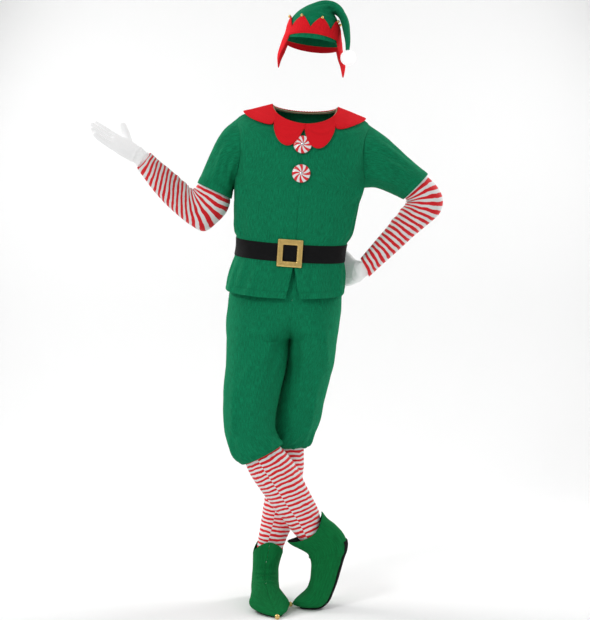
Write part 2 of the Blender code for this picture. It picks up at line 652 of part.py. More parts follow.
# Striped sleeves and stockings
ARM_RIGHT = [
    TubeRing(-0.297, 1.292, -0.226, 1.236, 0.002, 0.046, 0),
    TubeRing(-0.313, 1.268, -0.226, 1.222, 0.000, 0.047, 0),
    TubeRing(-0.323, 1.254, -0.224, 1.204, -0.001, 0.048, 0),
    TubeRing(-0.330, 1.245, -0.234, 1.176, -0.004, 0.048, 0),
    TubeRing(-0.335, 1.242, -0.256, 1.150, -0.008, 0.048, 0),
    TubeRing(-0.341, 1.243, -0.300, 1.118, -0.014, 0.047, 0),
    TubeRing(-0.352, 1.254, -0.344, 1.138, -0.024, 0.047, 0),
    TubeRing(-0.372, 1.275, -0.380, 1.168, -0.044, 0.045, 0),
    TubeRing(-0.398, 1.300, -0.415, 1.202, -0.070, 0.043, 0),
    TubeRing(-0.423, 1.321, -0.446, 1.240, -0.094, 0.039, 6),
    TubeRing(-0.437, 1.334, -0.470, 1.275, -0.112, 0.034, 12),
    TubeRing(-0.449, 1.345, -0.489, 1.303, -0.125, 0.030, 18),
]
ARM_LEFT = [
    TubeRing(0.340, 1.306, 0.289, 1.232, 0.052, 0.045, 0),
    TubeRing(0.367, 1.284, 0.303, 1.218, 0.060, 0.046, 0),
    TubeRing(0.397, 1.258, 0.309, 1.212, 0.069, 0.047, 0),
    TubeRing(0.416, 1.228, 0.311, 1.208, 0.076, 0.047, 0),
    TubeRing(0.420, 1.198, 0.310, 1.203, 0.080, 0.047, 0),
    TubeRing(0.408, 1.168, 0.305, 1.197, 0.078, 0.047, 0),
    TubeRing(0.382, 1.144, 0.296, 1.186, 0.070, 0.046, 0),
    TubeRing(0.323, 1.097, 0.259, 1.142, 0.050, 0.042, 0),
    TubeRing(0.260, 1.040, 0.213, 1.090, 0.030, 0.036, 0),
    TubeRing(0.193, 0.981, 0.166, 1.036, 0.010, 0.031, 0),
]
STOCKING_RIGHT = [
    TubeRing(-0.189, 0.452, -0.088, 0.508, -0.055, 0.050, 0),
    TubeRing(-0.178, 0.424, -0.077, 0.481, -0.056, 0.052, 0),
    TubeRing(-0.163, 0.391, -0.045, 0.445, -0.056, 0.055, 0),
    TubeRing(-0.137, 0.352, -0.018, 0.405, -0.056, 0.055, 0),
    TubeRing(-0.115, 0.322, 0.002, 0.362, -0.055, 0.053, 0),
    TubeRing(-0.087, 0.282, 0.025, 0.318, -0.052, 0.050, 0),
    TubeRing(-0.061, 0.251, 0.040, 0.286, -0.049, 0.047, 0),
    TubeRing(-0.037, 0.219, 0.047, 0.250, -0.046, 0.043, 0),
    TubeRing(-0.016, 0.194, 0.050, 0.222, -0.046, 0.037, 0),
    TubeRing(0.002, 0.172, 0.060, 0.198, -0.047, 0.031, 0),
]
STOCKING_LEFT = [
    TubeRing(-0.007, 0.492, -0.104, 0.494, 0.058, 0.048, 0),
    TubeRing(-0.003, 0.455, -0.108, 0.456, 0.060, 0.050, 0),
    TubeRing(-0.004, 0.390, -0.110, 0.390, 0.060, 0.053, 0),
    TubeRing(-0.018, 0.325, -0.118, 0.329, 0.057, 0.051, 0),
    TubeRing(-0.027, 0.270, -0.127, 0.277, 0.046, 0.048, 0),
    TubeRing(-0.036, 0.229, -0.133, 0.240, 0.024, 0.045, 0),
    TubeRing(-0.053, 0.194, -0.139, 0.203, 0.006, 0.040, 0),
    TubeRing(-0.070, 0.153, -0.144, 0.163, -0.001, 0.036, 0),
    TubeRing(-0.082, 0.126, -0.146, 0.132, -0.004, 0.032, 0),
]
ELBOW_FOLDS_RIGHT = [Fold(-80, 3.2, 60, 3.2, 0.22, 0.004), Fold(-60, 5.1, 70, 5.1, 0.25, 0.004),
                     Fold(-70, 6.3, 70, 6.3, 0.25, 0.003)]
ELBOW_FOLDS_LEFT = [Fold(120, 2.6, 240, 2.6, 0.22, 0.004), Fold(110, 4.4, 250, 4.4, 0.25, 0.004),
                    Fold(110, 6.1, 240, 6.1, 0.25, 0.003)]


def make_knit_tubes():
    for name, rings, columns, rows, folds in (
            ("striped_sleeve_right", ARM_RIGHT, 12, 17, ELBOW_FOLDS_RIGHT),
            ("striped_sleeve_left", ARM_LEFT, 12, 16, ELBOW_FOLDS_LEFT),
            ("stocking_right", STOCKING_RIGHT, 12, 11, ()),
            ("stocking_left", STOCKING_LEFT, 12, 11, ())):
        surface = TubeSurface(rings, folds)
        places = [(len(rings) - 1) * row / rows for row in range(rows + 1)]
        wall(name, surface, ring_grid(columns, places), KNIT, "striped_knit", closed=all_round)


# Hat: crown with its tail folded over to the wearer's left, felt band with flaps, bells, pompom
CROWN = [
    TubeRing(-0.063, 1.690, 0.106, 1.668, 0.000, 0.0985, 0),
    TubeRing(-0.0545, 1.713, 0.1035, 1.692, 0.000, 0.0980, 0),
    TubeRing(-0.048, 1.735, 0.101, 1.716, 0.000, 0.0940, 0),
    TubeRing(-0.036, 1.755, 0.098, 1.734, 0.000, 0.0850, 0),
    TubeRing(-0.017, 1.773, 0.094, 1.746, -0.001, 0.0730, 0),
    TubeRing(0.009, 1.788, 0.090, 1.753, -0.003, 0.0590, 0),
    TubeRing(0.037, 1.797, 0.087, 1.757, -0.005, 0.0480, 0),
    TubeRing(0.064, 1.799, 0.086, 1.759, -0.008, 0.0410, 0),
    TubeRing(0.089, 1.791, 0.089, 1.759, -0.014, 0.0370, 0),
    TubeRing(0.108, 1.775, 0.095, 1.755, -0.020, 0.0340, 0),
    TubeRing(0.122, 1.753, 0.1025, 1.743, -0.028, 0.0310, 0),
    TubeRing(0.130, 1.727, 0.108, 1.723, -0.038, 0.0270, 0),
    TubeRing(0.133, 1.700, 0.113, 1.699, -0.048, 0.0220, 0),
    TubeRing(0.133, 1.677, 0.117, 1.677, -0.058, 0.0160, 0),
    TubeRing(0.130, 1.656, 0.118, 1.656, -0.065, 0.0090, 0),
]
CROWN_FOLDS = [Fold(20, 3.4, 165, 3.4, 0.35, 0.005), Fold(80, 3.6, 95, 7.6, 14, 0.006),
               Fold(-20, 3.6, -160, 3.6, 0.4, 0.005), Fold(250, 3.4, 265, 7.4, 16, 0.006),
               Fold(60, 8.4, 75, 12.4, 22, 0.003), Fold(-50, 8.4, -60, 12.4, 22, 0.003)]
BAND = [
    TubeRing(-0.080, 1.598, 0.112, 1.568, 0.000, 0.103, 0),
    TubeRing(-0.082, 1.634, 0.119, 1.606, 0.000, 0.105, 0),
    TubeRing(-0.078, 1.660, 0.117, 1.634, 0.000, 0.106, 0),
    TubeRing(-0.070, 1.685, 0.113, 1.661, 0.000, 0.105, 0),
    TubeRing(-0.0610, 1.708, 0.1095, 1.687, 0.000, 0.1035, 0),
    TubeRing(-0.0540, 1.732, 0.1070, 1.712, 0.000, 0.1010, 0),
    TubeRing(-0.0440, 1.753, 0.1035, 1.734, 0.000, 0.0930, 0),
]
BAND_COLUMNS = 48
BAND_POINTS = 8
BAND_FIRST_POINT = 15.0      # degrees round from the wearer's right
BAND_SNUG = 0.0014           # how far the band is drawn in on the crown
BAND_VALLEY, BAND_TIP = 4.55, 6.0
FLAP_HALF = 36.0
FLAP_DROP = 2.95
BELL_RADIUS = 0.0047
POMPOM_CORE, POMPOM_REACH = 0.0130, 0.0215
POMPOM_X, POMPOM_Y = 0.126, -0.069


def band_low(turn):
    """Place of the band's lower edge: high over the brow, with a rounded flap on each side."""
    degrees = np.degrees(turn) % 360.0
    edge = 3.15 + 0.65 * sin(turn)
    for side in (0.0, 180.0):
        away = abs((degrees - side + 180.0) % 360.0 - 180.0) / FLAP_HALF
        if away < 1.0:
            edge -= FLAP_DROP * (1.0 - away ** 2) ** 0.6
    return edge


def band_top(turn):
    """Place of the band's zigzag upper edge."""
    spacing = 360.0 / BAND_POINTS
    away = abs((np.degrees(turn) - BAND_FIRST_POINT + spacing / 2.0) % spacing - spacing / 2.0) / (spacing / 2.0)
    return BAND_TIP - (BAND_TIP - BAND_VALLEY) * away ** 1.25


def ball_mesh(name, radius, sides, rings):
    bm = bmesh.new()
    bmesh.ops.create_uvsphere(bm, u_segments=sides, v_segments=rings, radius=radius)
    return mesh_from(name, bm)


def make_hat():
    crown = TubeSurface(CROWN, CROWN_FOLDS)
    places = [0.0, 1.2, 2.2, 3.0, 3.7, 4.5, 5.5, 6.5, 7.5, 8.5, 9.5, 10.6, 11.8, 13.0, 14.0]
    wall("hat_crown", crown, ring_grid(16, places), FLEECE, "green_fleece", closed=all_round, capped=True)
    band = TubeSurface(BAND)
    grid = []
    for share in (0.0, 0.45, 1.0):
        turns = [2.0 * pi * column / BAND_COLUMNS for column in range(BAND_COLUMNS + 1)]
        grid.append([(turn, band_low(turn) + (band_top(turn) - band_low(turn)) * share) for turn in turns])
    wall("hat_band", band, grid, FELT, "red_felt", closed=all_round, lift=-BAND_SNUG)
    for number in range(BAND_POINTS):
        turn = radians(BAND_FIRST_POINT + number * 360.0 / BAND_POINTS)
        centre = band.point(turn, BAND_TIP - 0.12, BELL_RADIUS + SEAM_GAP - BAND_SNUG)
        name = "hat_bell_%d" % (number + 1)
        add_object(name, ball_mesh(name, BELL_RADIUS, 7, 5), "bell_gold", Matrix.Translation(centre))
    make_pompom(min(crown.point(turn, 14.0).z for turn in (0.0, pi / 2.0, pi, 3.0 * pi / 2.0)))


def make_pompom(top):
    """Ball of short three-sided locks on one core, hung just under the tail's end."""
    bm = bmesh.new()
    bmesh.ops.create_icosphere(bm, subdivisions=2, radius=POMPOM_CORE)
    roots = list(bm.faces)
    locks = bmesh.ops.extrude_discrete_faces(bm, faces=roots)["faces"]
    for number, lock in enumerate(locks):
        middle = lock.calc_center_median()
        reach = POMPOM_REACH * (0.94 + 0.06 * sin(2.4 * number))
        for corner in lock.verts:
            spread = corner.co.lerp(middle, 0.45).normalized()
            corner.co = spread * reach
    mesh = mesh_from("hat_pompom", bm)
    highest = max(vertex.co.z for vertex in mesh.vertices)
    place = Matrix.Translation((POMPOM_X, POMPOM_Y, top - SEAM_GAP - highest))
    add_object("hat_pompom", mesh, "white_cloth", place)


# Gloves: a coarse cage of palm, fingers and thumb, rounded and given its cloth's thickness
Finger = namedtuple("Finger", "length spread curl half_width")
FINGERS_OPEN = [Finger(0.055, -7, 6, 0.0088), Finger(0.071, -2, 4, 0.0095), Finger(0.078, 2, 3, 0.0098),
                Finger(0.071, 6, 2, 0.0095)]
FINGERS_ON_HIP = [Finger(0.055, -5, 17, 0.0088), Finger(0.071, -2, 17, 0.0095), Finger(0.078, 1, 17, 0.0098),
                  Finger(0.071, 4, 17, 0.0095)]
PalmRow = namedtuple("PalmRow", "along half_across half_thick")
PALM = [PalmRow(0.000, 0.024, 0.020), PalmRow(0.036, 0.038, 0.019), PalmRow(0.070, 0.043, 0.016),
        PalmRow(0.096, 0.042, 0.013)]
FINGER_HALF_THICK = 0.0098
THUMB_HALF, THUMB_LENGTH, THUMB_AHEAD, THUMB_CURL = 0.0115, 0.062, 0.72, 5.0
GLOVE_FACES_KEPT = 0.45      # share of the rounded cage's triangles
# Each length of a finger: its share of the whole, its thickness, and how far it has turned its own way
FINGER_LENGTHS = [(0.12, 1.0, 0.5), (0.36, 0.97, 0.9), (0.30, 0.92, 1.0), (0.22, 0.74, 1.0)]
CUFF_HALF = (0.0225, 0.0215)
CUFF_INSIDE, CUFF_OUTSIDE = 0.040, 0.014


def make_glove(name, sleeve_rings, along, across, fingers, thumb_out, thumb_raise, turn):
    """Glove whose cuff lies inside a sleeve; along runs to the fingertips, across to the thumb.

    turn is 1 or -1, for the side of the hand that the fingers curl to.
    """
    sleeve = TubeSurface(sleeve_rings)
    end = sleeve.centre(len(sleeve_rings) - 1)
    back = (sleeve.centre(len(sleeve_rings) - 2) - end).normalized()
    cuff, wrist = end + back * CUFF_INSIDE, end - back * CUFF_OUTSIDE
    along = along.normalized()
    across = (across - along * across.dot(along)).normalized()
    palm_side = across.cross(along) * turn
    cuff_along = (wrist - cuff).normalized()
    cuff_across = (across - cuff_along * across.dot(cuff_along)).normalized()
    cuff_palm = (palm_side - cuff_along * palm_side.dot(cuff_along)
                 - cuff_across * palm_side.dot(cuff_across)).normalized()
    bm = bmesh.new()
    rings = [palm_ring(bm, cuff, cuff_across, cuff_palm, *CUFF_HALF),
             palm_ring(bm, cuff.lerp(wrist, 0.6), cuff_across, cuff_palm, *CUFF_HALF)]
    for row in PALM:
        rings.append(palm_ring(bm, wrist + along * row.along, across, palm_side, row.half_across, row.half_thick))
    thumb_base = None
    for here, there in zip(rings, rings[1:]):
        for corner in range(10):
            face = bm.faces.new((here[corner], here[(corner + 1) % 10], there[(corner + 1) % 10], there[corner]))
            if corner == 4 and here is rings[3]:
                thumb_base = face
    last = rings[-1]
    for number, finger in enumerate(fingers):
        base = bm.faces.new((last[number], last[number + 1], last[8 - number], last[9 - number]))
        spread = radians(finger.spread)
        way = along * cos(spread) + across * sin(spread)
        grow_finger(bm, base, way, palm_side, finger.length, radians(finger.curl), (across, palm_side),
                    (finger.half_width, FINGER_HALF_THICK))
    thumb_way = along * THUMB_AHEAD + across * thumb_out + palm_side * thumb_raise
    grow_finger(bm, thumb_base, thumb_way.normalized(), along, THUMB_LENGTH, radians(THUMB_CURL), None,
                (THUMB_HALF, THUMB_HALF))
    mesh = mesh_from_open(name, bm)
    glove = add_object(name, mesh, "white_cloth")
    rounding = glove.modifiers.new("rounding", "SUBSURF")
    rounding.levels = rounding.render_levels = 1
    fewer = glove.modifiers.new("fewer", "DECIMATE")
    fewer.ratio = GLOVE_FACES_KEPT
    cloth = glove.modifiers.new("cloth", "SOLIDIFY")
    cloth.thickness, cloth.offset = GLOVE_CLOTH, -1.0


def palm_ring(bm, centre, across, palm_side, half_across, half_thick):
    """Ten points: five on the palm side from the little finger to the thumb, and five back."""
    points = []
    for side in (1.0, -1.0):
        for step in (-1.0, -0.5, 0.0, 0.5, 1.0):
            step *= side
            thick = half_thick * (1.0 - 0.35 * step ** 4)
            points.append(bm.verts.new(centre + across * (half_across * step) + palm_side * (thick * side)))
    return points


def grow_finger(bm, base, way, curl_to, length, curl, frame, half_sizes):
    """Draw a finger out of one face in four lengths, turning from the face's own way into the finger's."""
    face = base
    centre = base.calc_center_median()
    base.normal_update()
    outward = base.normal.copy() if base.normal.dot(way) > 0.0 else -base.normal
    if frame is None:
        corners = list(base.verts)
        side = (corners[1].co - corners[0].co).normalized()
        frame = (side, outward.cross(side))
    for share, thinness, turned in FINGER_LENGTHS:
        face = bmesh.ops.extrude_discrete_faces(bm, faces=[face])["faces"][0]
        signs = [[1.0 if (corner.co - centre).dot(axis) > 0.0 else -1.0 for axis in frame]
                 for corner in face.verts]
        ahead = outward.lerp(way, turned).normalized()
        frame = tuple((axis - ahead * axis.dot(ahead)).normalized() for axis in frame)
        centre = centre + ahead * (length * share)
        for corner, (one, two) in zip(face.verts, signs):
            corner.co = centre + (frame[0] * one * half_sizes[0] + frame[1] * two * half_sizes[1]) * thinness
        way = (way + curl_to * sin(curl)).normalized()


def mesh_from_open(name, bm):
    """Mesh of an open cage with its faces pointing out."""
    rims = [edge for edge in bm.edges if edge.is_boundary]
    lid = bmesh.ops.contextual_create(bm, geom=rims)["faces"]
    bmesh.ops.recalc_face_normals(bm, faces=bm.faces)
    if bm.calc_volume(signed=True) < 0.0:
        bmesh.ops.reverse_faces(bm, faces=bm.faces)
    bmesh.ops.delete(bm, geom=lid, context="FACES_ONLY")
    mesh = bpy.data.meshes.new(name)
    bm.to_mesh(mesh)
    bm.free()
    return mesh


def make_gloves():
    """The right hand is held open to the side; the left rests on the hip with its fingers behind."""
    make_glove("glove_right", ARM_RIGHT, Vector((-0.155, -0.030, 0.090)), Vector((0.27, 0.82, 0.50)),
               FINGERS_OPEN, thumb_out=0.55, thumb_raise=0.55, turn=1)
    make_glove("glove_left", ARM_LEFT, Vector((-0.60, 0.80, -0.10)), Vector((0.0, 0.0, 1.0)),
               FINGERS_ON_HIP, thumb_out=0.55, thumb_raise=-0.10, turn=-1)


# Shoe covers: two sides joined at the front and back seams, a black sole and a bell on the toe
ShoeRing = namedtuple("ShoeRing", "middle_x half_width front_y front_h back_y back_h")
SHOE_LEFT = [
    ShoeRing(-0.106, 0.0510, -0.057, 0.188, 0.056, 0.194),
    ShoeRing(-0.110, 0.0470, -0.057, 0.158, 0.054, 0.160),
    ShoeRing(-0.116, 0.0420, -0.058, 0.128, 0.053, 0.122),
    ShoeRing(-0.119, 0.0395, -0.060, 0.108, 0.058, 0.088),
    ShoeRing(-0.120, 0.0400, -0.067, 0.094, 0.064, 0.050),
    ShoeRing(-0.120, 0.0415, -0.075, 0.086, 0.058, 0.014),
    ShoeRing(-0.119, 0.0430, -0.086, 0.079, 0.030, 0.0035),
    ShoeRing(-0.116, 0.0450, -0.100, 0.072, -0.030, 0.0035),
    ShoeRing(-0.111, 0.0520, -0.122, 0.061, -0.086, 0.0035),
    ShoeRing(-0.106, 0.0590, -0.149, 0.048, -0.134, 0.0035),
    ShoeRing(-0.099, 0.0500, -0.175, 0.035, -0.170, 0.0035),
    ShoeRing(-0.091, 0.0340, -0.196, 0.024, -0.195, 0.0035),
    ShoeRing(-0.085, 0.0160, -0.211, 0.016, -0.212, 0.0040),
    ShoeRing(-0.083, 0.0045, -0.219, 0.0125, -0.219, 0.0045),
]
SHOE_RIGHT = [
    TubeRing(-0.053, 0.190, 0.051, 0.280, -0.046, 0.048, 0),
    TubeRing(-0.036, 0.178, 0.068, 0.259, -0.046, 0.047, 0),
    TubeRing(-0.014, 0.167, 0.091, 0.240, -0.047, 0.045, 0),
    TubeRing(0.004, 0.157, 0.112, 0.217, -0.049, 0.041, 0),
    TubeRing(0.012, 0.148, 0.125, 0.192, -0.052, 0.040, 0),
    TubeRing(0.016, 0.138, 0.124, 0.168, -0.055, 0.041, 0),
    TubeRing(0.018, 0.126, 0.115, 0.143, -0.058, 0.042, 0),
    TubeRing(0.018, 0.108, 0.105, 0.110, -0.063, 0.044, 0),
    TubeRing(0.015, 0.080, 0.095, 0.078, -0.070, 0.048, 0),
    TubeRing(0.008, 0.058, 0.083, 0.048, -0.077, 0.053, 0),
    TubeRing(-0.003, 0.045, 0.070, 0.022, -0.083, 0.056, 0),
    TubeRing(-0.013, 0.038, 0.048, 0.0055, -0.088, 0.053, 0),
    TubeRing(-0.020, 0.033, 0.020, 0.0035, -0.093, 0.045, 0),
    TubeRing(-0.027, 0.028, -0.004, 0.0040, -0.097, 0.033, 0),
    TubeRing(-0.032, 0.024, -0.020, 0.0060, -0.100, 0.017, 0),
    TubeRing(-0.037, 0.0175, -0.034, 0.0100, -0.102, 0.0045, 0),
]
SHOE_SQUARE = 2.5
SHOE_COLUMNS, SHOE_ROWS = 7, 12
TOE_BELL_RADIUS = 0.0075
SOLE_THICK = 0.0025


class ShoeSurface(Surface):
    """Shoe seen from the side; turn 0 is the front seam, a quarter turn is the wearer's left side."""

    def __init__(self, rings):
        super().__init__()
        self.rows = np.array(rings)

    def centre(self, place):
        row = ShoeRing(*smooth(self.rows, place))
        return Vector((row.middle_x, (row.front_y + row.back_y) / 2.0, (row.front_h + row.back_h) / 2.0))

    def base(self, turn, place):
        row = ShoeRing(*smooth(self.rows, place))
        side, along = round_out(turn, SHOE_SQUARE)
        half = Vector((0.0, (row.front_y - row.back_y) / 2.0, (row.front_h - row.back_h) / 2.0))
        return self.centre(place) + half * along + Vector((row.half_width * side, 0.0, 0.0))


def make_shoe(name, surface, last, side_names, sole_places, top_dip):
    """Two side pieces, the sole under them and the toe bell. The top edge dips by top_dip rows."""
    places = [0.0, 0.6, 1.3] + [2.1 + (last - 2.1) * row / SHOE_ROWS for row in range(SHOE_ROWS + 1)]
    for side, start in zip(side_names, (0.0, pi)):
        grid = []
        for place in places:
            clear = surface.turn_for(SEAM_GAP / 2.0, start, place)
            clear_end = surface.turn_for(SEAM_GAP / 2.0, start + pi, place)
            row = ring_grid(SHOE_COLUMNS, [place], start + clear, start + pi - clear_end)[0]
            grid.append([(turn, at + top_dip * sin(turn) ** 2 * max(0.0, 1.0 - at / 3.0)) for turn, at in row])
        wall(f"{name}_{side}", surface, grid, FELT, "green_felt")
    sole_rows = [place for place in places if sole_places[0] <= place <= sole_places[1]]
    side_step = pi / SHOE_COLUMNS
    sole = ring_grid(4, sole_rows, pi - 2.0 * side_step, pi + 2.0 * side_step)
    wall(name + "_sole", surface, sole, SOLE_THICK, "belt_black", lift=SOLE_THICK + LAID_ON)
    toe = (surface.centre(last) - surface.centre(last - 0.8)).normalized()
    centre = surface.centre(last) + toe * (TOE_BELL_RADIUS + LAID_ON)
    add_object(name + "_bell", ball_mesh(name + "_bell", TOE_BELL_RADIUS, 10, 6), "bell_gold",
               Matrix.Translation(centre))


def make_shoes():
    make_shoe("shoe_left", ShoeSurface(SHOE_LEFT), len(SHOE_LEFT) - 1, ("outer", "inner"), (4.6, 11.6), 1.3)
    right = TubeSurface(SHOE_RIGHT, square=SHOE_SQUARE)
    make_shoe("shoe_right", right, len(SHOE_RIGHT) - 1, ("inner", "outer"), (3.8, 13.6), 1.2)


def main():
    for old in list(bpy.data.objects):
        bpy.data.objects.remove(old, do_unlink=True)
    costume = bpy.data.collections.new("elf_costume")
    bpy.context.scene.collection.children.link(costume)
    hold = bpy.data.objects.new("shoulder_hold", None)
    hold.location.z = -SHOULDER_HEIGHT
    costume.objects.link(hold)
    tunic = make_tunic()
    make_collar(tunic)
    make_neck_tape(tunic)
    make_belt(tunic)
    make_buckle()
    make_buttons(tunic)
    make_breeches()
    make_knit_tubes()
    make_hat()
    make_gloves()
    make_shoes()


main()
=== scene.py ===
"""Looks of a worn elf costume: fleece tunic and breeches, felt collar and hat, striped jersey, gloves,
shoe covers and metal trims, built as thin cloth around the packed solids.

Metres, +Z up. The wearer faces -Y, so the wearer's right is -X. The tables give heights above the
ground, and every finished piece hangs from the shoulders at the origin, SHOULDER_HEIGHT above it.
"""

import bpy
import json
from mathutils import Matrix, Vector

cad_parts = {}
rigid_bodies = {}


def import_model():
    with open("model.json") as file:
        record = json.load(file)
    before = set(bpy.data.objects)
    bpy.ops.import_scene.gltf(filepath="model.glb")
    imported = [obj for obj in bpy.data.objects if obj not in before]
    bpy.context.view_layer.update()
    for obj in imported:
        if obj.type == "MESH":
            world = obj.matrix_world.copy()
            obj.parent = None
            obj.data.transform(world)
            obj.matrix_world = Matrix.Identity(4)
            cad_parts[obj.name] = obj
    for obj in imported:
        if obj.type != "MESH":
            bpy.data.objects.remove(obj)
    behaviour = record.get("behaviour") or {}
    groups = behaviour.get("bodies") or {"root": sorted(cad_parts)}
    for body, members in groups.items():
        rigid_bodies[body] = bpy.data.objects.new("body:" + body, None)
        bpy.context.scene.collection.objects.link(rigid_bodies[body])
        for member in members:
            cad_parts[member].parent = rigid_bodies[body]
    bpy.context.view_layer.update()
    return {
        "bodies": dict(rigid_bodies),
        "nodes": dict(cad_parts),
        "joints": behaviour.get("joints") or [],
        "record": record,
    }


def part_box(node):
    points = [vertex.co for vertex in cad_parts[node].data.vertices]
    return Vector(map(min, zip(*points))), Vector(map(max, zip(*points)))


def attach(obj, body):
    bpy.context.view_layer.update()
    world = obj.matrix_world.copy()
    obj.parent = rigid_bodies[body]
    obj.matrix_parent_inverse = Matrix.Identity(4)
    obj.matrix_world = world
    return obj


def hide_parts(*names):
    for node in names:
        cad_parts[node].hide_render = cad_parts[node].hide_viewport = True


bl_info = {
    "name": "Elf costume",
    "version": (1, 0, 0),
    "blender": (4, 5, 0),
    "location": "View3D > Sidebar > Costume",
    "description": "Builds the cloth, trims and stage of a worn elf costume",
    "category": "Object",
}

import json
from collections import namedtuple
from math import atan2, cos, pi, radians, sin

import bmesh
import bpy
import numpy as np
from mathutils import Matrix, Vector

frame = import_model()
BODY = "root"

# Driving sizes
SHOULDER_HEIGHT = 1.490
FLEECE, FELT, KNIT, GLOVE_CLOTH = 0.0022, 0.0020, 0.0016, 0.0012
SEAM_GAP, ARMHOLE_GAP, LAID_ON = 0.0003, 0.0006, 0.0006
STEP = 0.0048                # usual distance between points on the cloth
EDGE_NEAR = (0.0, 0.0009, 0.0022, 0.0042)   # closer points along an edge, where it rolls in
SEAM_DIP = 0.0011            # how far cloth turns in at a seam
SEAM_ROLL = 0.0021           # width of that turn
HEM_DEPTH = 0.020            # hem to its line of stitches

# Camera of the photo
CAMERA_PLACE = (-0.030, -4.600, -0.340)
CAMERA_DOWN = 3.34           # degrees
CAMERA_LENS, CAMERA_SENSOR = 89.1, 36.0


# Smooth tables and surfaces
def pick(values, index):
    """Rows of a table, or of one curve for each point, at row numbers."""
    if values.ndim == 2:
        return values[index]
    return np.take_along_axis(values, index[None, ..., None], 0)[0]


def smooth(values, place):
    """A table's rows at places counted in rows, on a smooth curve through all the rows."""
    place = np.asarray(place, float)
    last = len(values) - 1
    index = np.clip(place.astype(int), 0, last - 1)
    part = (place - index)[..., None]
    here, there = pick(values, index), pick(values, index + 1)
    before = np.where((index > 0)[..., None], pick(values, np.maximum(index - 1, 0)), 2.0 * here - there)
    after = np.where((index + 2 <= last)[..., None], pick(values, np.minimum(index + 2, last)),
                     2.0 * there - here)
    slope_here, slope_there = (there - before) / 2.0, (after - here) / 2.0
    step = there - here
    curve = here + part * (slope_here + part * (3.0 * step - 2.0 * slope_here - slope_there
                                                + part * (slope_here + slope_there - 2.0 * step)))
    curve = np.where(part < 0.0, here + slope_here * part, curve)
    return np.where(part > 1.0, there + slope_there * (part - 1.0), curve)


def table_row(kind, values, place):
    """The named columns of a table at each place."""
    return kind(*np.moveaxis(smooth(values, place), -1, 0))


def round_out(turn, square):
    """Sine and cosine of a turn on a rounded square: 2 is an ellipse, more is squarer."""
    side, front = np.sin(turn), np.cos(turn)
    size = (np.abs(side) ** square + np.abs(front) ** square) ** (-1.0 / square)
    return side * size, front * size


def ease(low, high, value):
    """0 below low, 1 above high, and a smooth rise between them."""
    part = np.clip((value - low) / (high - low), 0.0, 1.0)
    return part * part * (3.0 - 2.0 * part)


def bump_at(value, centre, width):
    return np.exp(-((value - centre) / width) ** 2)


def points_of(x, y, z):
    return np.stack(np.broadcast_arrays(x, y, z), -1).astype(float)


def measured(points, axis):
    """Distance walked from the first point along one axis of a grid of points."""
    steps = np.linalg.norm(np.diff(points, axis=axis), axis=-1)
    return np.concatenate([np.zeros_like(np.take(steps, [0], axis)), np.cumsum(steps, axis)], axis)


def unevenness(points, size, seed):
    """Smooth unevenness from -1 to 1 through space, the same at every run."""
    values = np.random.default_rng(seed).uniform(-1.0, 1.0, (48, 48, 48))
    scaled = points / size + 24.0
    cell = np.floor(scaled).astype(int)
    part = scaled - cell
    part = part * part * (3.0 - 2.0 * part)
    total = 0.0
    for corner in np.ndindex(2, 2, 2):
        share = np.prod(np.where(corner, part, 1.0 - part), -1)
        total = total + share * values[tuple(np.moveaxis((cell + corner) % 48, -1, 0))]
    return total


# A soft fold or trough: from one (turn, place) to another, its width across, and its height
Fold = namedtuple("Fold", "turn place turn_end place_end width height")


class Surface:
    """Outer face of a cloth: a point for each turn (radians) and place (rows), with its normal."""

    def __init__(self, folds=()):
        self.folds = folds

    def normal(self, turn, place, step=0.01):
        along_turn = self.base(turn + step, place) - self.base(turn - step, place)
        along_place = self.base(turn, place + step) - self.base(turn, place - step)
        normal = np.cross(along_turn, along_place)
        normal /= np.maximum(np.linalg.norm(normal, axis=-1, keepdims=True), 1e-12)
        outward = np.sum(normal * (self.base(turn, place) - self.centre(place)), -1, keepdims=True)
        return np.where(outward < 0.0, -normal, normal)

    def fold_height(self, turn, place):
        height = np.zeros(np.broadcast(turn, place).shape)
        for fold in self.folds:
            crosswise = fold.place_end == fold.place
            turned = (turn - radians(fold.turn) + pi) % (2.0 * pi) - pi
            span = radians(fold.turn_end - fold.turn)
            along = turned / span if crosswise else (place - fold.place) / (fold.place_end - fold.place)
            away = place - fold.place if crosswise else turned - span * along
            width = fold.width if crosswise else radians(fold.width)
            height = height + fold.height * (np.sin(pi * np.clip(along, 0.0, 1.0)) ** 0.6
                                             * np.exp(-(away / width) ** 2))
        return height

    def point(self, turn, place, lift=0.0):
        raised = lift + self.fold_height(turn, place)
        return self.base(turn, place) + self.normal(turn, place) * raised[..., None]

    def turn_for(self, distance, turn, place):
        """Change of turn that moves a point this far round."""
        step = 0.01
        width = np.linalg.norm(self.base(turn + step, place) - self.base(turn - step, place), axis=-1)
        return distance * 2.0 * step / width


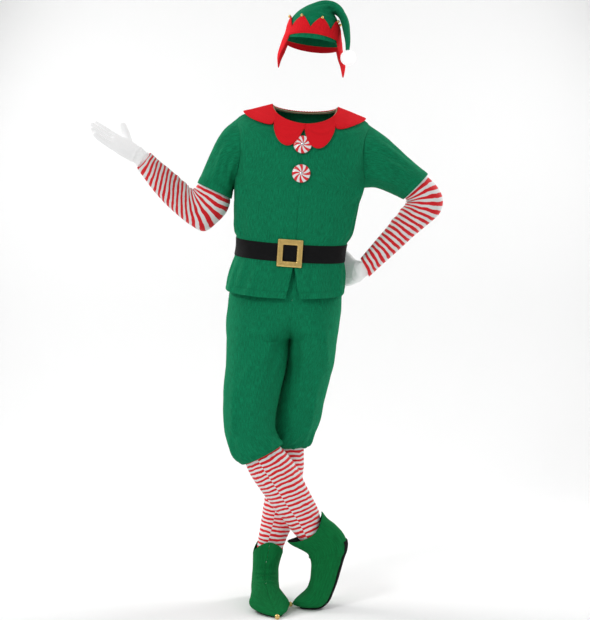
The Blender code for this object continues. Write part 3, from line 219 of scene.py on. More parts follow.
# Tunic rings, hem to neckline. Side points in the front view, front and back points in the side view
TunicRing = namedtuple("TunicRing", "left_x left_h right_x right_h side_y front_y front_h back_y back_h "
                                    "square seam_turn")
TUNIC = np.array([
    TunicRing(-0.239, 0.951, 0.118, 0.937, 0.000, -0.128, 0.922, 0.132, 0.930, 2.4, 7.5),
    TunicRing(-0.210, 1.050, 0.118, 1.028, 0.000, -0.107, 1.028, 0.104, 1.044, 2.4, 4.5),
    TunicRing(-0.205, 1.102, 0.125, 1.080, 0.000, -0.108, 1.080, 0.104, 1.096, 2.4, 4.0),
    TunicRing(-0.209, 1.128, 0.141, 1.113, 0.000, -0.1115, 1.114, 0.113, 1.124, 2.4, 3.0),
    TunicRing(-0.210, 1.163, 0.149, 1.150, 0.000, -0.1200, 1.152, 0.116, 1.162, 2.4, 2.5),
    TunicRing(-0.212, 1.208, 0.162, 1.198, 0.002, -0.126, 1.200, 0.117, 1.208, 2.5, 1.5),
    TunicRing(-0.212, 1.252, 0.178, 1.247, 0.004, -0.127, 1.252, 0.120, 1.256, 2.5, 1.0),
    TunicRing(-0.208, 1.335, 0.186, 1.325, 0.008, -0.122, 1.322, 0.120, 1.340, 2.5, 0.0),
    TunicRing(-0.206, 1.415, 0.190, 1.398, 0.010, -0.112, 1.376, 0.112, 1.408, 2.4, 0.0),
    TunicRing(-0.200, 1.458, 0.189, 1.438, 0.010, -0.105, 1.400, 0.098, 1.440, 2.3, 0.0),
    TunicRing(-0.152, 1.478, 0.147, 1.464, 0.010, -0.100, 1.415, 0.084, 1.460, 2.2, 0.0),
    TunicRing(-0.096, 1.495, 0.097, 1.486, 0.008, -0.094, 1.431, 0.064, 1.476, 2.0, 0.0),
])
BELT_LOW, BELT_TOP, UNDERARM, SHOULDER_TIP, NECKLINE = 1, 2, 6, 9, 11
ARMHOLE_HALF_TURN = radians(30.0)
ARMHOLE_STEPS = 40
HEM_SPLIT_HALF = 0.021


class TunicSurface(Surface):
    """Turn 0 is the centre front, a quarter turn is the wearer's left side."""

    def centre(self, place):
        row = table_row(TunicRing, TUNIC, place)
        return points_of((row.left_x + row.right_x) / 2.0, row.side_y, (row.front_h + row.back_h) / 2.0)

    def base(self, turn, place):
        row = table_row(TunicRing, TUNIC, place)
        side, front = round_out(turn, row.square)
        forward = front > 0.0
        reach_y = np.where(forward, row.front_y, row.back_y)
        reach_h = np.where(forward, row.front_h, row.back_h)
        mean_h = (row.left_h + row.right_h) / 2.0
        return points_of((row.left_x + row.right_x) / 2.0 + side * (row.right_x - row.left_x) / 2.0,
                         row.side_y + np.abs(front) * (reach_y - row.side_y),
                         mean_h + side * (row.right_h - row.left_h) / 2.0 + np.abs(front) * (reach_h - mean_h))

    def place_below_neck(self, turn, distance):
        """Place on the cloth at a distance down from the neckline, for each turn."""
        places = np.linspace(NECKLINE, 4.0, 500)
        found = np.empty(np.shape(turn))
        for at in np.ndindex(found.shape):
            walked = measured(self.base(np.full(500, turn[at]), places), 0)
            found[at] = np.interp(distance[at], walked, places)
        return found


# Rings of a tube seen from the front: a first and a second edge point, the middle's depth, half of
# the depth through, and how far its far side is tipped up in degrees
TubeRing = namedtuple("TubeRing", "first_x first_h second_x second_h middle_y half_depth tip")


class TubeSurface(Surface):
    """Tube through rings; turn 0 is the first edge point, a quarter turn is towards the viewer."""

    def __init__(self, rings, folds=(), square=2.0):
        super().__init__(folds)
        self.rows = np.array(rings)
        self.square = square

    def centre(self, place):
        row = table_row(TubeRing, self.rows, place)
        return points_of((row.first_x + row.second_x) / 2.0, row.middle_y, (row.first_h + row.second_h) / 2.0)

    def base(self, turn, place):
        row = table_row(TubeRing, self.rows, place)
        near, along = round_out(turn, self.square)
        tip, depth = np.radians(row.tip), row.half_depth * near
        half_x, half_h = (row.first_x - row.second_x) / 2.0, (row.first_h - row.second_h) / 2.0
        return self.centre(place) + points_of(half_x * along, -np.cos(tip) * depth,
                                              half_h * along - np.sin(tip) * depth)


class TunicSleeve(Surface):
    """Short sleeve from the armhole's edge through three rings. Turn 0 is the top of the shoulder."""

    def __init__(self, tunic, side, rings, folds=()):
        super().__init__(folds)
        self.tunic, self.side = tunic, side
        self.tube = TubeSurface(rings)

    def armhole(self, turn):
        """Turn and place on the tunic of a point on the armhole's edge, inside its seam gap."""
        place = UNDERARM + (SHOULDER_TIP - UNDERARM) * (1.0 + np.cos(turn)) / 2.0
        inset = self.tunic.turn_for(ARMHOLE_GAP, self.side, place)
        open_turn = (ARMHOLE_HALF_TURN - inset) * np.sin(turn)
        return self.side - open_turn * (1 if self.side > 0 else -1), place - ARMHOLE_GAP / 0.07 * np.cos(turn)

    def smooth_over(self, turn):
        """How smoothly the sleeve continues the tunic: 1 over the shoulder, 0 under the arm."""
        return np.clip((np.cos(turn) + 0.5) / 1.2, 0.0, 1.0)

    def curves(self, turn):
        first = self.tunic.point(*self.armhole(turn), ARMHOLE_GAP * (1.0 - self.smooth_over(turn)) - SEAM_DIP)
        return np.stack([first] + [self.tube.base(turn, np.full(np.shape(turn), row)) for row in (0, 1, 2)])

    def centre(self, place):
        place = np.asarray(place, float)
        turn = np.zeros(place.shape)
        return smooth((self.curves(turn) + self.curves(turn + pi)) / 2.0, place)

    def base(self, turn, place):
        turn, place = np.broadcast_arrays(turn, place)
        return smooth(self.curves(turn), place)

    def normal(self, turn, place, step=0.01):
        own = super().normal(turn, place, step)
        seam = self.tunic.normal(*self.armhole(turn))
        share = (self.smooth_over(turn) * np.clip(1.0 - np.maximum(place, 0.0) / 0.3, 0.0, 1.0))[..., None]
        blended = own * (1.0 - share) + seam * share
        return blended / np.linalg.norm(blended, axis=-1, keepdims=True)


# Breeches: each half is a leg and half of the hips, split at the centre front and back seams
HipRing = namedtuple("HipRing", "middle_x outer_x outer_h middle_h front_y back_y")
LEG_RIGHT = [
    TubeRing(-0.188, 0.423, -0.071, 0.482, -0.055, 0.061, 0),
    TubeRing(-0.214, 0.447, -0.070, 0.492, -0.055, 0.068, 0),
    TubeRing(-0.230, 0.484, -0.079, 0.508, -0.050, 0.073, 0),
    TubeRing(-0.243, 0.541, -0.089, 0.541, -0.045, 0.078, 0),
    TubeRing(-0.244, 0.628, -0.080, 0.624, -0.035, 0.082, 0),
    TubeRing(-0.239, 0.706, -0.061, 0.712, -0.022, 0.090, 0),
    TubeRing(-0.236, 0.800, -0.046, 0.792, 0.000, 0.104, 0),
]
LEG_LEFT = [
    TubeRing(0.000, 0.459, -0.112, 0.462, 0.060, 0.058, 0),
    TubeRing(0.018, 0.470, -0.116, 0.470, 0.058, 0.064, 0),
    TubeRing(0.031, 0.500, -0.113, 0.500, 0.054, 0.072, 0),
    TubeRing(0.049, 0.551, -0.103, 0.553, 0.050, 0.077, 0),
    TubeRing(0.067, 0.634, -0.081, 0.634, 0.038, 0.082, 0),
    TubeRing(0.087, 0.716, -0.054, 0.716, 0.022, 0.090, 0),
    TubeRing(0.099, 0.800, -0.046, 0.792, 0.000, 0.104, 0),
]
HIPS_RIGHT = [
    HipRing(-0.046, -0.236, 0.800, 0.792, -0.104, 0.104),
    HipRing(-0.044, -0.236, 0.838, 0.826, -0.108, 0.110),
    HipRing(-0.041, -0.234, 0.878, 0.868, -0.112, 0.116),
    HipRing(-0.038, -0.228, 0.930, 0.920, -0.111, 0.113),
    HipRing(-0.040, -0.212, 0.985, 0.975, -0.100, 0.099),
    HipRing(-0.042, -0.196, 1.034, 1.024, -0.092, 0.086),
]
HIPS_LEFT = [
    HipRing(-0.046, 0.099, 0.800, 0.792, -0.104, 0.104),
    HipRing(-0.044, 0.104, 0.838, 0.826, -0.108, 0.110),
    HipRing(-0.041, 0.109, 0.878, 0.868, -0.112, 0.116),
    HipRing(-0.038, 0.110, 0.928, 0.920, -0.111, 0.113),
    HipRing(-0.040, 0.107, 0.980, 0.975, -0.100, 0.099),
    HipRing(-0.042, 0.104, 1.024, 1.024, -0.092, 0.086),
]
CROTCH_PLACE = 6
HIP_ROWS_TO_HALF = 3.0        # rows above the crotch where a half of the hips is a half ring


class BreechesSurface(Surface):
    """Turn 0 is the outer side of the leg, and half a turn is its inner seam.

    Above the crotch, half a turn each way reaches the centre front and the centre back.
    """

    def __init__(self, leg, hips, folds=()):
        super().__init__(folds)
        self.leg = TubeSurface(leg)
        self.hips = np.array(hips)

    def centre(self, place):
        place = np.asarray(place, float)
        row = table_row(HipRing, self.hips, np.maximum(place - CROTCH_PLACE, 0.0))
        hip = points_of((row.middle_x + row.outer_x) / 2.0, 0.0, row.middle_h)
        return np.where((place <= CROTCH_PLACE)[..., None], self.leg.centre(place), hip)

    def base(self, turn, place):
        """Above the crotch the leg's ring widens past the centre seam and is cut off there."""
        turn, place = np.broadcast_arrays(turn, np.asarray(place, float))
        above = np.maximum(place - CROTCH_PLACE, 0.0)
        row = table_row(HipRing, self.hips, above)
        width = row.outer_x - row.middle_x
        shift = np.minimum(above / HIP_ROWS_TO_HALF, 1.0) ** 1.4
        middle = row.middle_x + width * (1.0 - shift) / 2.0
        half_width = row.outer_x - middle
        seam = np.arccos(np.maximum(-1.0, (row.middle_x - middle) / half_width))
        angle = turn * seam / pi
        x = middle + half_width * np.cos(angle)
        y = np.abs(np.sin(angle)) * np.where(angle > 0.0, row.front_y, row.back_y)
        hip = points_of(x, y, row.middle_h + (row.outer_h - row.middle_h) * (x - row.middle_x) / width)
        return np.where((place <= CROTCH_PLACE)[..., None], self.leg.base(turn, place), hip)


# Shoe covers seen from the side
ShoeRing = namedtuple("ShoeRing", "middle_x half_width front_y front_h back_y back_h")


class ShoeSurface(Surface):
    """Shoe seen from the side; turn 0 is the front seam, a quarter turn is the wearer's left side."""

    def __init__(self, rings, folds=()):
        super().__init__(folds)
        self.rows = np.array(rings)

    def centre(self, place):
        row = table_row(ShoeRing, self.rows, place)
        return points_of(row.middle_x, (row.front_y + row.back_y) / 2.0, (row.front_h + row.back_h) / 2.0)

    def base(self, turn, place):
        row = table_row(ShoeRing, self.rows, place)
        side, along = round_out(turn, SHOE_SQUARE)
        return self.centre(place) + points_of(row.half_width * side, (row.front_y - row.back_y) / 2.0 * along,
                                              (row.front_h - row.back_h) / 2.0 * along)


# Grids of points
def edge_spread(length, step=STEP, near=EDGE_NEAR, both=True):
    """Distances across a length, closer together near its edges."""
    fine = np.array(near)
    end = length - near[-1] if both else length
    middle = np.linspace(near[-1], end, max(2, int(round((end - near[-1]) / step)) + 1))
    tail = length - fine[-2::-1] if both else []
    return np.concatenate([fine[:-1], middle, tail])


def places_along(surface, turn, low, high, step=STEP, extra=(), near=EDGE_NEAR, both=True):
    """Places from low to high, set by real distances along the cloth from its low edge."""
    sample = np.linspace(low, high, 600)
    walked = measured(surface.base(np.full(600, turn), sample), 0)
    distances = edge_spread(walked[-1], step, near, both)
    for at in extra:
        distances = np.concatenate([distances, at + np.array([-0.0024, -0.0012, 0.0, 0.0012, 0.0024])])
    distances = np.unique(np.clip(distances, 0.0, walked[-1]).round(5))
    distances = distances[np.concatenate([[True], np.diff(distances) > 0.0004])]
    distances[-1] = walked[-1]
    return np.interp(distances, walked, sample)


def cloth_sizes(surface, turn, place):
    """Sizes across and along the cloth in metres, for its UVs: across is 0 in the middle of a row."""
    points = surface.base(turn, place)
    across = measured(points, 1)
    across = across - across[:, across.shape[1] // 2][:, None]
    spine = measured(surface.centre(place[:, :1]), 0)
    return across, np.broadcast_to(spine, across.shape)


def edge_distance(surface, turn, place):
    """Distance of each point from the nearer end of its row."""
    across = measured(surface.base(turn, place), 1)
    return np.minimum(across, across[:, -1:] - across)


def hung(points):
    """Points with heights above the ground, moved down so that the shoulders lie at the origin."""
    return points - np.array((0.0, 0.0, SHOULDER_HEIGHT))


def grid_mesh(name, points, sizes, closed=False, inner=None):
    """Quads over a grid of points, facing the way that inner (a grid of normals) points."""
    rows, columns = points.shape[:2]
    kept = columns - 1 if closed else columns
    numbers = np.arange(rows * kept).reshape(rows, kept)
    if closed:
        numbers = np.concatenate([numbers, numbers[:, :1]], 1)
    corners = [(0, 0), (0, 1), (1, 1), (1, 0)]
    way = np.cross(points[0, 1] - points[0, 0], points[1, 0] - points[0, 0])
    if np.dot(way, inner[0, 0]) < 0.0:
        corners.reverse()
    parts = [(slice(r, rows - 1 + r), slice(c, columns - 1 + c)) for r, c in corners]
    faces = np.stack([numbers[part] for part in parts], -1).reshape(-1, 4)
    mesh = bpy.data.meshes.new(name)
    mesh.from_pydata(hung(points[:, :kept].reshape(-1, 3)).tolist(), [], faces.tolist())
    uvs = np.stack(sizes, -1)
    loops = np.stack([uvs[part] for part in parts], -2).reshape(-1, 2)
    mesh.uv_layers.new(name="cloth").data.foreach_set("uv", loops.astype(np.float32).ravel())
    return mesh


def new_object(name, mesh, *materials):
    for material in materials:
        mesh.materials.append(material)
    piece = bpy.data.objects.new(name, mesh)
    bpy.context.scene.collection.objects.link(piece)
    return piece


def plain_mesh(piece, sharp=50.0):
    """Turn what the modifiers show into the piece's own mesh, smooth but for its sharp edges."""
    bpy.context.view_layer.update()
    mesh = bpy.data.meshes.new_from_object(piece.evaluated_get(bpy.context.evaluated_depsgraph_get()))
    piece.modifiers.clear()
    piece.data = mesh
    mesh.name = piece.name
    mesh.shade_smooth()
    mesh.set_sharp_from_angle(angle=radians(sharp))
    return piece


def thicken(piece, thickness, inner_material=0, offset=-1.0):
    """Give a surface its cloth's thickness, inwards, with another material inside if one is named."""
    wall = piece.modifiers.new("cloth", "SOLIDIFY")
    wall.thickness, wall.offset, wall.material_offset = thickness, offset, inner_material
    return plain_mesh(piece)


def place_piece(piece, nodes):
    """Fix a finished piece to the costume's body, in place of its solids."""
    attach(piece, BODY)
    if nodes:
        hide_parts(*nodes)
    return piece


def cloth(name, surface, turn, place, thickness, materials, lift=0.0, closed=False, sizes=None,
          nodes=None):
    """One cloth piece over a surface; lift may be a height for each point of the grid."""
    lift = np.broadcast_to(lift, turn.shape)
    points = surface.point(turn, place, lift)
    mesh = grid_mesh(name, points, sizes or cloth_sizes(surface, turn, place), closed,
                     surface.normal(turn, place))
    piece = new_object(name, mesh, *materials)
    thicken(piece, thickness, len(materials) - 1)
    return place_piece(piece, [name] if nodes is None else nodes)


# Shader helpers
def add_node(tree, kind, inputs=(), **settings):
    """A node with its settings, and its inputs set or linked by name or number."""
    made = tree.nodes.new(kind)
    for key, value in settings.items():
        setattr(made, key, value)
    for socket, value in dict(inputs).items():
        if isinstance(value, bpy.types.NodeSocket):
            tree.links.new(value, made.inputs[socket])
        else:
            made.inputs[socket].default_value = value
    return made


def calc(tree, operation, first, second=0.0, third=None):
    inputs = {0: first, 1: second}
    if third is not None:
        inputs[2] = third
    return add_node(tree, "ShaderNodeMath", inputs, operation=operation).outputs[0]


def mix_colour(tree, factor, first, second):
    inputs = {0: factor, 6: first, 7: second}
    return add_node(tree, "ShaderNodeMix", inputs, data_type="RGBA").outputs[2]


def remap(tree, value, low, high, to_low=0.0, to_high=1.0):
    return add_node(tree, "ShaderNodeMapRange", {0: value, 1: low, 2: high, 3: to_low, 4: to_high},
                    interpolation_type="SMOOTHSTEP").outputs[0]


def noise_node(tree, vector, scale, detail=2.0, roughness=0.5):
    return add_node(tree, "ShaderNodeTexNoise", {"Vector": vector, "Scale": scale, "Detail": detail,
                                                 "Roughness": roughness})


def stretched(tree, vector, scale):
    return add_node(tree, "ShaderNodeMapping", {"Vector": vector, "Scale": scale}).outputs[0]


def new_group(name, inputs, outputs):
    """A shader node group with its sockets; returns the tree, its input node and its output node."""
    tree = bpy.data.node_groups.new(name, "ShaderNodeTree")
    for label, kind in inputs:
        tree.interface.new_socket(label, in_out="INPUT", socket_type=kind)
    for label, kind in outputs:
        tree.interface.new_socket(label, in_out="OUTPUT", socket_type=kind)
    return tree, tree.nodes.new("NodeGroupInput"), tree.nodes.new("NodeGroupOutput")


def use_group(tree, group, inputs):
    made = add_node(tree, "ShaderNodeGroup", node_tree=group)
    for socket, value in inputs.items():
        if isinstance(value, bpy.types.NodeSocket):
            tree.links.new(value, made.inputs[socket])
        else:
            made.inputs[socket].default_value = value
    return made


VECTOR, NUMBER = "NodeSocketVector", "NodeSocketFloat"


def build_nap_group():
    """Brushed cloth: tufts of fibre, fine rows running one way, and broad unevenness in the dye."""
    tree, given, out = new_group("brushed nap", [("Cloth", VECTOR), ("Fibre", NUMBER), ("Rows", NUMBER)],
                                 [("Tufts", NUMBER), ("Lines", NUMBER), ("Patches", NUMBER), ("Height", NUMBER)])
    fibre, rows = given.outputs["Fibre"], given.outputs["Rows"]
    tufts = noise_node(tree, given.outputs["Cloth"], fibre, 4.0, 0.62).outputs[0]
    along = stretched(tree, given.outputs["Cloth"], (1.0, 0.11, 1.0))
    lines = noise_node(tree, along, rows, 2.0, 0.55).outputs[0]
    patches = noise_node(tree, given.outputs["Cloth"], 14.0, 2.0).outputs[0]
    height = calc(tree, "MULTIPLY_ADD", lines, 0.55, calc(tree, "MULTIPLY", tufts, 0.6))
    for label, value in (("Tufts", tufts), ("Lines", lines), ("Patches", patches), ("Height", height)):
        tree.links.new(value, out.inputs[label])
    return tree


def build_jersey_group():
    """Fine jersey: columns of loops, as a height and a shade in the valleys between them."""
    tree, given, out = new_group("fine jersey", [("Cloth", VECTOR), ("Stitches", NUMBER)],
                                 [("Height", NUMBER), ("Painted valley shade", NUMBER)])
    split = add_node(tree, "ShaderNodeSeparateXYZ", {0: given.outputs["Cloth"]})
    stitches = given.outputs["Stitches"]
    across = calc(tree, "MULTIPLY", split.outputs[0], stitches)
    up = calc(tree, "MULTIPLY", split.outputs[1], stitches)
    column = calc(tree, "PINGPONG", across, 0.5)
    lean = calc(tree, "MULTIPLY_ADD", column, 1.2, up)
    loop = calc(tree, "PINGPONG", lean, 0.5)
    height = calc(tree, "MULTIPLY", calc(tree, "SQRT", calc(tree, "MULTIPLY", column, 2.0)),
                  calc(tree, "MULTIPLY_ADD", loop, 0.8, 0.6))
    tree.links.new(height, out.inputs["Height"])
    tree.links.new(remap(tree, height, 0.0, 0.45, 1.0, 0.0), out.inputs["Painted valley shade"])
    return tree


def build_marks_and_pit_shade_group():
    """Handled metal and plastic: fine scratches, smears and darker pits."""
    tree, given, out = new_group("scratches, smears and pit shade", [("Place", VECTOR), ("Size", NUMBER)],
                                 [("Scratches", NUMBER), ("Smears", NUMBER), ("Pits", NUMBER)])
    size = given.outputs["Size"]
    scratches = noise_node(tree, stretched(tree, given.outputs["Place"], (1.0, 1.0, 0.08)), size, 3.0).outputs[0]
    smears = noise_node(tree, given.outputs["Place"], calc(tree, "MULTIPLY", size, 0.12), 3.0).outputs[0]
    pits = noise_node(tree, given.outputs["Place"], calc(tree, "MULTIPLY", size, 0.6), 5.0, 0.7).outputs[0]
    for label, value in (("Scratches", remap(tree, scratches, 0.45, 0.7)), ("Smears", smears),
                         ("Pits", remap(tree, pits, 0.52, 0.72))):
        tree.links.new(value, out.inputs[label])
    return tree


def new_material(name, roughness, metallic=0.0, sheen=0.0, sheen_tint=(1.0, 1.0, 1.0), coat=0.0, specular=0.5):
    """A material with its Principled shader's fixed values set on its own sockets."""
    material = bpy.data.materials.new(name)
    material.use_nodes = True
    tree = material.node_tree
    shader = tree.nodes["Principled BSDF"]
    shader.inputs["Roughness"].default_value = roughness
    shader.inputs["Metallic"].default_value = metallic
    shader.inputs["Sheen Weight"].default_value = sheen
    shader.inputs["Sheen Roughness"].default_value = 0.45
    shader.inputs["Sheen Tint"].default_value = (*sheen_tint, 1.0)
    shader.inputs["Coat Weight"].default_value = coat
    shader.inputs["Specular IOR Level"].default_value = specular
    return material, tree, shader


def finish_material(tree, shader, colour, height, distance, strength=1.0, roughness=None):
    tree.links.new(colour, shader.inputs["Base Color"])
    if height is not None:
        bump = add_node(tree, "ShaderNodeBump", {"Height": height, "Distance": distance, "Strength": strength})
        tree.links.new(bump.outputs[0], shader.inputs["Normal"])
    if roughness is not None:
        tree.links.new(roughness, shader.inputs["Roughness"])


def shade(colour, factor):
    return (*[min(1.0, part * factor) for part in colour], 1.0)


def cloth_uv(tree):
    return add_node(tree, "ShaderNodeUVMap", uv_map="cloth").outputs[0]


def own_place(tree):
    return add_node(tree, "ShaderNodeTexCoord").outputs["Object"]


def brushed_material(name, colour, fibre, rows, depth, contrast, sheen, on_uv=True):
    """Fleece or felt: nap that lightens the tufts, faint rows, and uneven dye."""
    material, tree, shader = new_material(name, 0.95, sheen=sheen, sheen_tint=shade(colour, 3.0)[:3],
                                          specular=0.12)
    where = cloth_uv(tree) if on_uv else own_place(tree)
    nap = use_group(tree, bpy.data.node_groups["brushed nap"], {"Cloth": where, "Fibre": fibre, "Rows": rows})
    # partly painted light: the tone follows the nap's bump, lighter where it stands up and darker in its lows
    nap_tone_and_light = remap(tree, calc(tree, "MULTIPLY_ADD", nap.outputs["Lines"], 0.6,
                            calc(tree, "MULTIPLY", nap.outputs["Tufts"], 0.4)), 0.36, 0.64)
    tone = mix_colour(tree, nap_tone_and_light, shade(colour, 1.0 - contrast), shade(colour, 1.0 + contrast))
    patch = remap(tree, nap.outputs["Patches"], 0.3, 0.7)
    dyed = mix_colour(tree, patch, shade(colour, 0.93), shade(colour, 1.07))
    both = mix_colour(tree, 0.6, dyed, tone)
    finish_material(tree, shader, both, nap.outputs["Height"], depth)
    return material


def striped_material(name, red, white, pitch, red_share, phase):
    """Jersey with red and white stripes worked out from the distance along the tube."""
    material, tree, shader = new_material(name, 0.85, sheen=0.15, specular=0.3)
    where = cloth_uv(tree)
    jersey = use_group(tree, bpy.data.node_groups["fine jersey"], {"Cloth": where, "Stitches": 620.0})
    along = add_node(tree, "ShaderNodeSeparateXYZ", {0: where}).outputs[1]
    wander = noise_node(tree, where, 900.0, 1.0).outputs[0]
    along = calc(tree, "MULTIPLY_ADD", calc(tree, "SUBTRACT", wander, 0.5), 0.0006, along)
    drift = noise_node(tree, where, 26.0, 2.0).outputs[0]
    along = calc(tree, "MULTIPLY_ADD", calc(tree, "SUBTRACT", drift, 0.5), 0.0110, along)
    part = calc(tree, "WRAP", calc(tree, "MULTIPLY_ADD", along, 1.0 / pitch, phase), 1.0, 0.0)
    edge = 0.0004 / pitch
    away = calc(tree, "ABSOLUTE", calc(tree, "SUBTRACT", part, 0.5))
    stripe = remap(tree, away, red_share / 2.0 - edge, red_share / 2.0 + edge, 1.0, 0.0)
    mottle = noise_node(tree, where, 260.0, 2.0).outputs[0]
    pale = mix_colour(tree, mottle, shade(white, 0.94), shade(white, 1.0))
    deep = mix_colour(tree, mottle, shade(red, 0.85), shade(red, 1.15))
    colour = mix_colour(tree, stripe, pale, deep)
    # painted shade: the valleys between the loops darkened towards deep red
    painted_valley_shade = calc(tree, "MULTIPLY", jersey.outputs["Painted valley shade"], 0.16)
    colour = mix_colour(tree, painted_valley_shade, colour, shade(red, 0.55))
    finish_material(tree, shader, colour, jersey.outputs["Height"], 0.0003, 0.6)
    return material


def white_jersey_material(name, white, painted_glow=0.0):
    """White knit; passed_on is light that its thin fibres let through, past the bounces."""
    material, tree, shader = new_material(name, 0.8, sheen=0.2, specular=0.3)
    # painted glow: white emission of the given strength, standing in for light that the render does not reach it
    # with
    shader.inputs["Emission Color"].default_value = (1.0, 1.0, 1.0, 1.0)
    shader.inputs["Emission Strength"].default_value = painted_glow
    where = own_place(tree)
    fine = noise_node(tree, where, 1400.0, 3.0, 0.6).outputs[0]
    broad = noise_node(tree, where, 40.0, 2.0).outputs[0]
    colour = mix_colour(tree, broad, shade(white, 0.93), shade(white, 1.0))
    # painted shade: up to a quarter darker where the fine fibre bump is low
    colour = mix_colour(tree, remap(tree, fine, 0.35, 0.5, 0.25, 0.0), colour, shade(white, 0.7))
    finish_material(tree, shader, colour, fine, 0.0004, 0.6)
    return material


def webbing_material(name, colour):
    """Elastic webbing: cords along the belt, crossed by fine ribs."""
    material, tree, shader = new_material(name, 0.8, sheen=0.0, specular=0.2)
    split = add_node(tree, "ShaderNodeSeparateXYZ", {0: cloth_uv(tree)})
    cords = calc(tree, "PINGPONG", calc(tree, "MULTIPLY", split.outputs[1], 520.0), 0.5)
    ribs = calc(tree, "PINGPONG", calc(tree, "MULTIPLY", split.outputs[0], 900.0), 0.5)
    height = calc(tree, "MULTIPLY_ADD", cords, 1.0, calc(tree, "MULTIPLY", ribs, 0.8))
    cord_highlight_patches = noise_node(tree, cloth_uv(tree), 60.0, 3.0).outputs[0]
    # painted light: the raised cords and ribs lightened as a highlight, stronger in noise patches, and the grooves
    # between them darkened as shade
    tone = mix_colour(tree, calc(tree, "MULTIPLY", height, cord_highlight_patches), shade(colour, 0.7), shade(colour, 2.4))
    finish_material(tree, shader, tone, height, 0.0005)
    return material


def gold_material(name, colour, roughness, size):
    material, tree, shader = new_material(name, roughness, metallic=1.0)
    marks_and_pit_shade = use_group(tree, bpy.data.node_groups["scratches, smears and pit shade"], {"Place": own_place(tree), "Size": size})
    tone = mix_colour(tree, marks_and_pit_shade.outputs["Smears"], shade(colour, 0.82), shade(colour, 1.1))
    # painted shade: the pits, dented in by the bump, darkened to 45 %
    tone = mix_colour(tree, calc(tree, "MULTIPLY", marks_and_pit_shade.outputs["Pits"], 0.5), tone, shade(colour, 0.45))
    rough = calc(tree, "MULTIPLY_ADD", marks_and_pit_shade.outputs["Scratches"], 0.16,
                 calc(tree, "MULTIPLY_ADD", marks_and_pit_shade.outputs["Smears"], 0.2, roughness - 0.1))
    finish_material(tree, shader, tone, marks_and_pit_shade.outputs["Pits"], -0.0002, 0.5, rough)
    return material


def candy_material(name, red, white, wedges, swirl):
    """Swirl of red wedges round the middle; the UVs are the button's own X and Y in radii."""
    material, tree, shader = new_material(name, 0.28, coat=0.4)
    where = cloth_uv(tree)
    split = add_node(tree, "ShaderNodeSeparateXYZ", {0: where})
    radius = add_node(tree, "ShaderNodeVectorMath", {0: where}, operation="LENGTH").outputs["Value"]
    angle = calc(tree, "ARCTAN2", split.outputs[1], split.outputs[0])
    bent = calc(tree, "MULTIPLY_ADD", radius, swirl, angle)
    part = calc(tree, "WRAP", calc(tree, "MULTIPLY", bent, wedges / (2.0 * pi)), 1.0, 0.0)
    away = calc(tree, "ABSOLUTE", calc(tree, "SUBTRACT", part, 0.5))
    wedge = remap(tree, away, 0.235, 0.265, 1.0, 0.0)
    wedge = calc(tree, "MULTIPLY", wedge, remap(tree, radius, 0.13, 0.17))
    marks_and_pit_shade = use_group(tree, bpy.data.node_groups["scratches, smears and pit shade"], {"Place": own_place(tree), "Size": 500.0})
    colour = mix_colour(tree, wedge, shade(white, 1.0), shade(red, 1.0))
    # painted shade: the button's edge and side wall darkened towards near black
    rim_shade = remap(tree, radius, 0.955, 0.985, 0.0, 0.75)
    colour = mix_colour(tree, rim_shade, colour, (0.05, 0.02, 0.02, 1.0))
    rough = calc(tree, "MULTIPLY_ADD", marks_and_pit_shade.outputs["Scratches"], 0.2, 0.24)
    finish_material(tree, shader, colour, marks_and_pit_shade.outputs["Scratches"], 0.0001, 0.4, rough)
    return material


def plain_stage_material(name, colour, roughness):
    material, tree, shader = new_material(name, roughness)
    speck = noise_node(tree, own_place(tree), 3.0).outputs[0]
    finish_material(tree, shader, mix_colour(tree, speck, shade(colour, 0.99), shade(colour, 1.0)), None, 0.0)
    return material


def material(name):
    return bpy.data.materials[name]


def build_materials(colours):
    build_nap_group()
    build_jersey_group()
    build_marks_and_pit_shade_group()
    green, red = tuple(colours.green), tuple(colours.red)
    brushed_material("tunic fleece", green, 300.0, 480.0, 0.0018, 0.42, 0.10)
    brushed_material("hat fleece", green, 380.0, 520.0, 0.0016, 0.38, 0.14)
    brushed_material("collar felt", red, 500.0, 400.0, 0.0010, 0.18, 0.06)
    brushed_material("shoe felt", tuple(colours.shoe_green), 360.0, 300.0, 0.0016, 0.30, 0.08)
    # painted shade: near black on the shoe covers' inner faces, for the shade inside them
    brushed_material("shoe inside shade", (0.010, 0.011, 0.012), 500.0, 400.0, 0.0005, 0.2, 0.1)
    brushed_material("green thread", shade(green, 0.75)[:3], 1500.0, 1500.0, 0.0001, 0.1, 0.0, on_uv=False)
    brushed_material("red thread", shade(red, 0.75)[:3], 1500.0, 1500.0, 0.0001, 0.1, 0.0, on_uv=False)
    brushed_material("tape cotton", (0.62, 0.50, 0.33), 900.0, 900.0, 0.0003, 0.12, 0.0)
    white = tuple(colours.white)
    striped_material("sleeve stripes", tuple(colours.stripe_red), white, 0.0182, 0.52, 0.30)
    striped_material("stocking stripes", tuple(colours.stripe_red), white, 0.0138, 0.52, 0.10)
    # painted light: the gloves and the pompom glow a little, to brighten them where they lie in shade
    white_jersey_material("glove jersey", white, 0.16)
    white_jersey_material("pompom yarn", (0.95, 0.95, 0.95), 0.22)
    webbing_material("belt webbing", (0.0035, 0.0035, 0.0040))
    brushed_material("sole sheet", (0.010, 0.010, 0.011), 300.0, 300.0, 0.0002, 0.2, 0.0)
    gold_material("buckle foil", (0.83, 0.58, 0.20), 0.34, 900.0)
    gold_material("bell brass", (0.85, 0.60, 0.22), 0.22, 700.0)
    candy_material("candy enamel", red, (0.88, 0.87, 0.86), 8, 0.45)
    gold_material("button stone", (0.80, 0.82, 0.86), 0.15, 900.0)


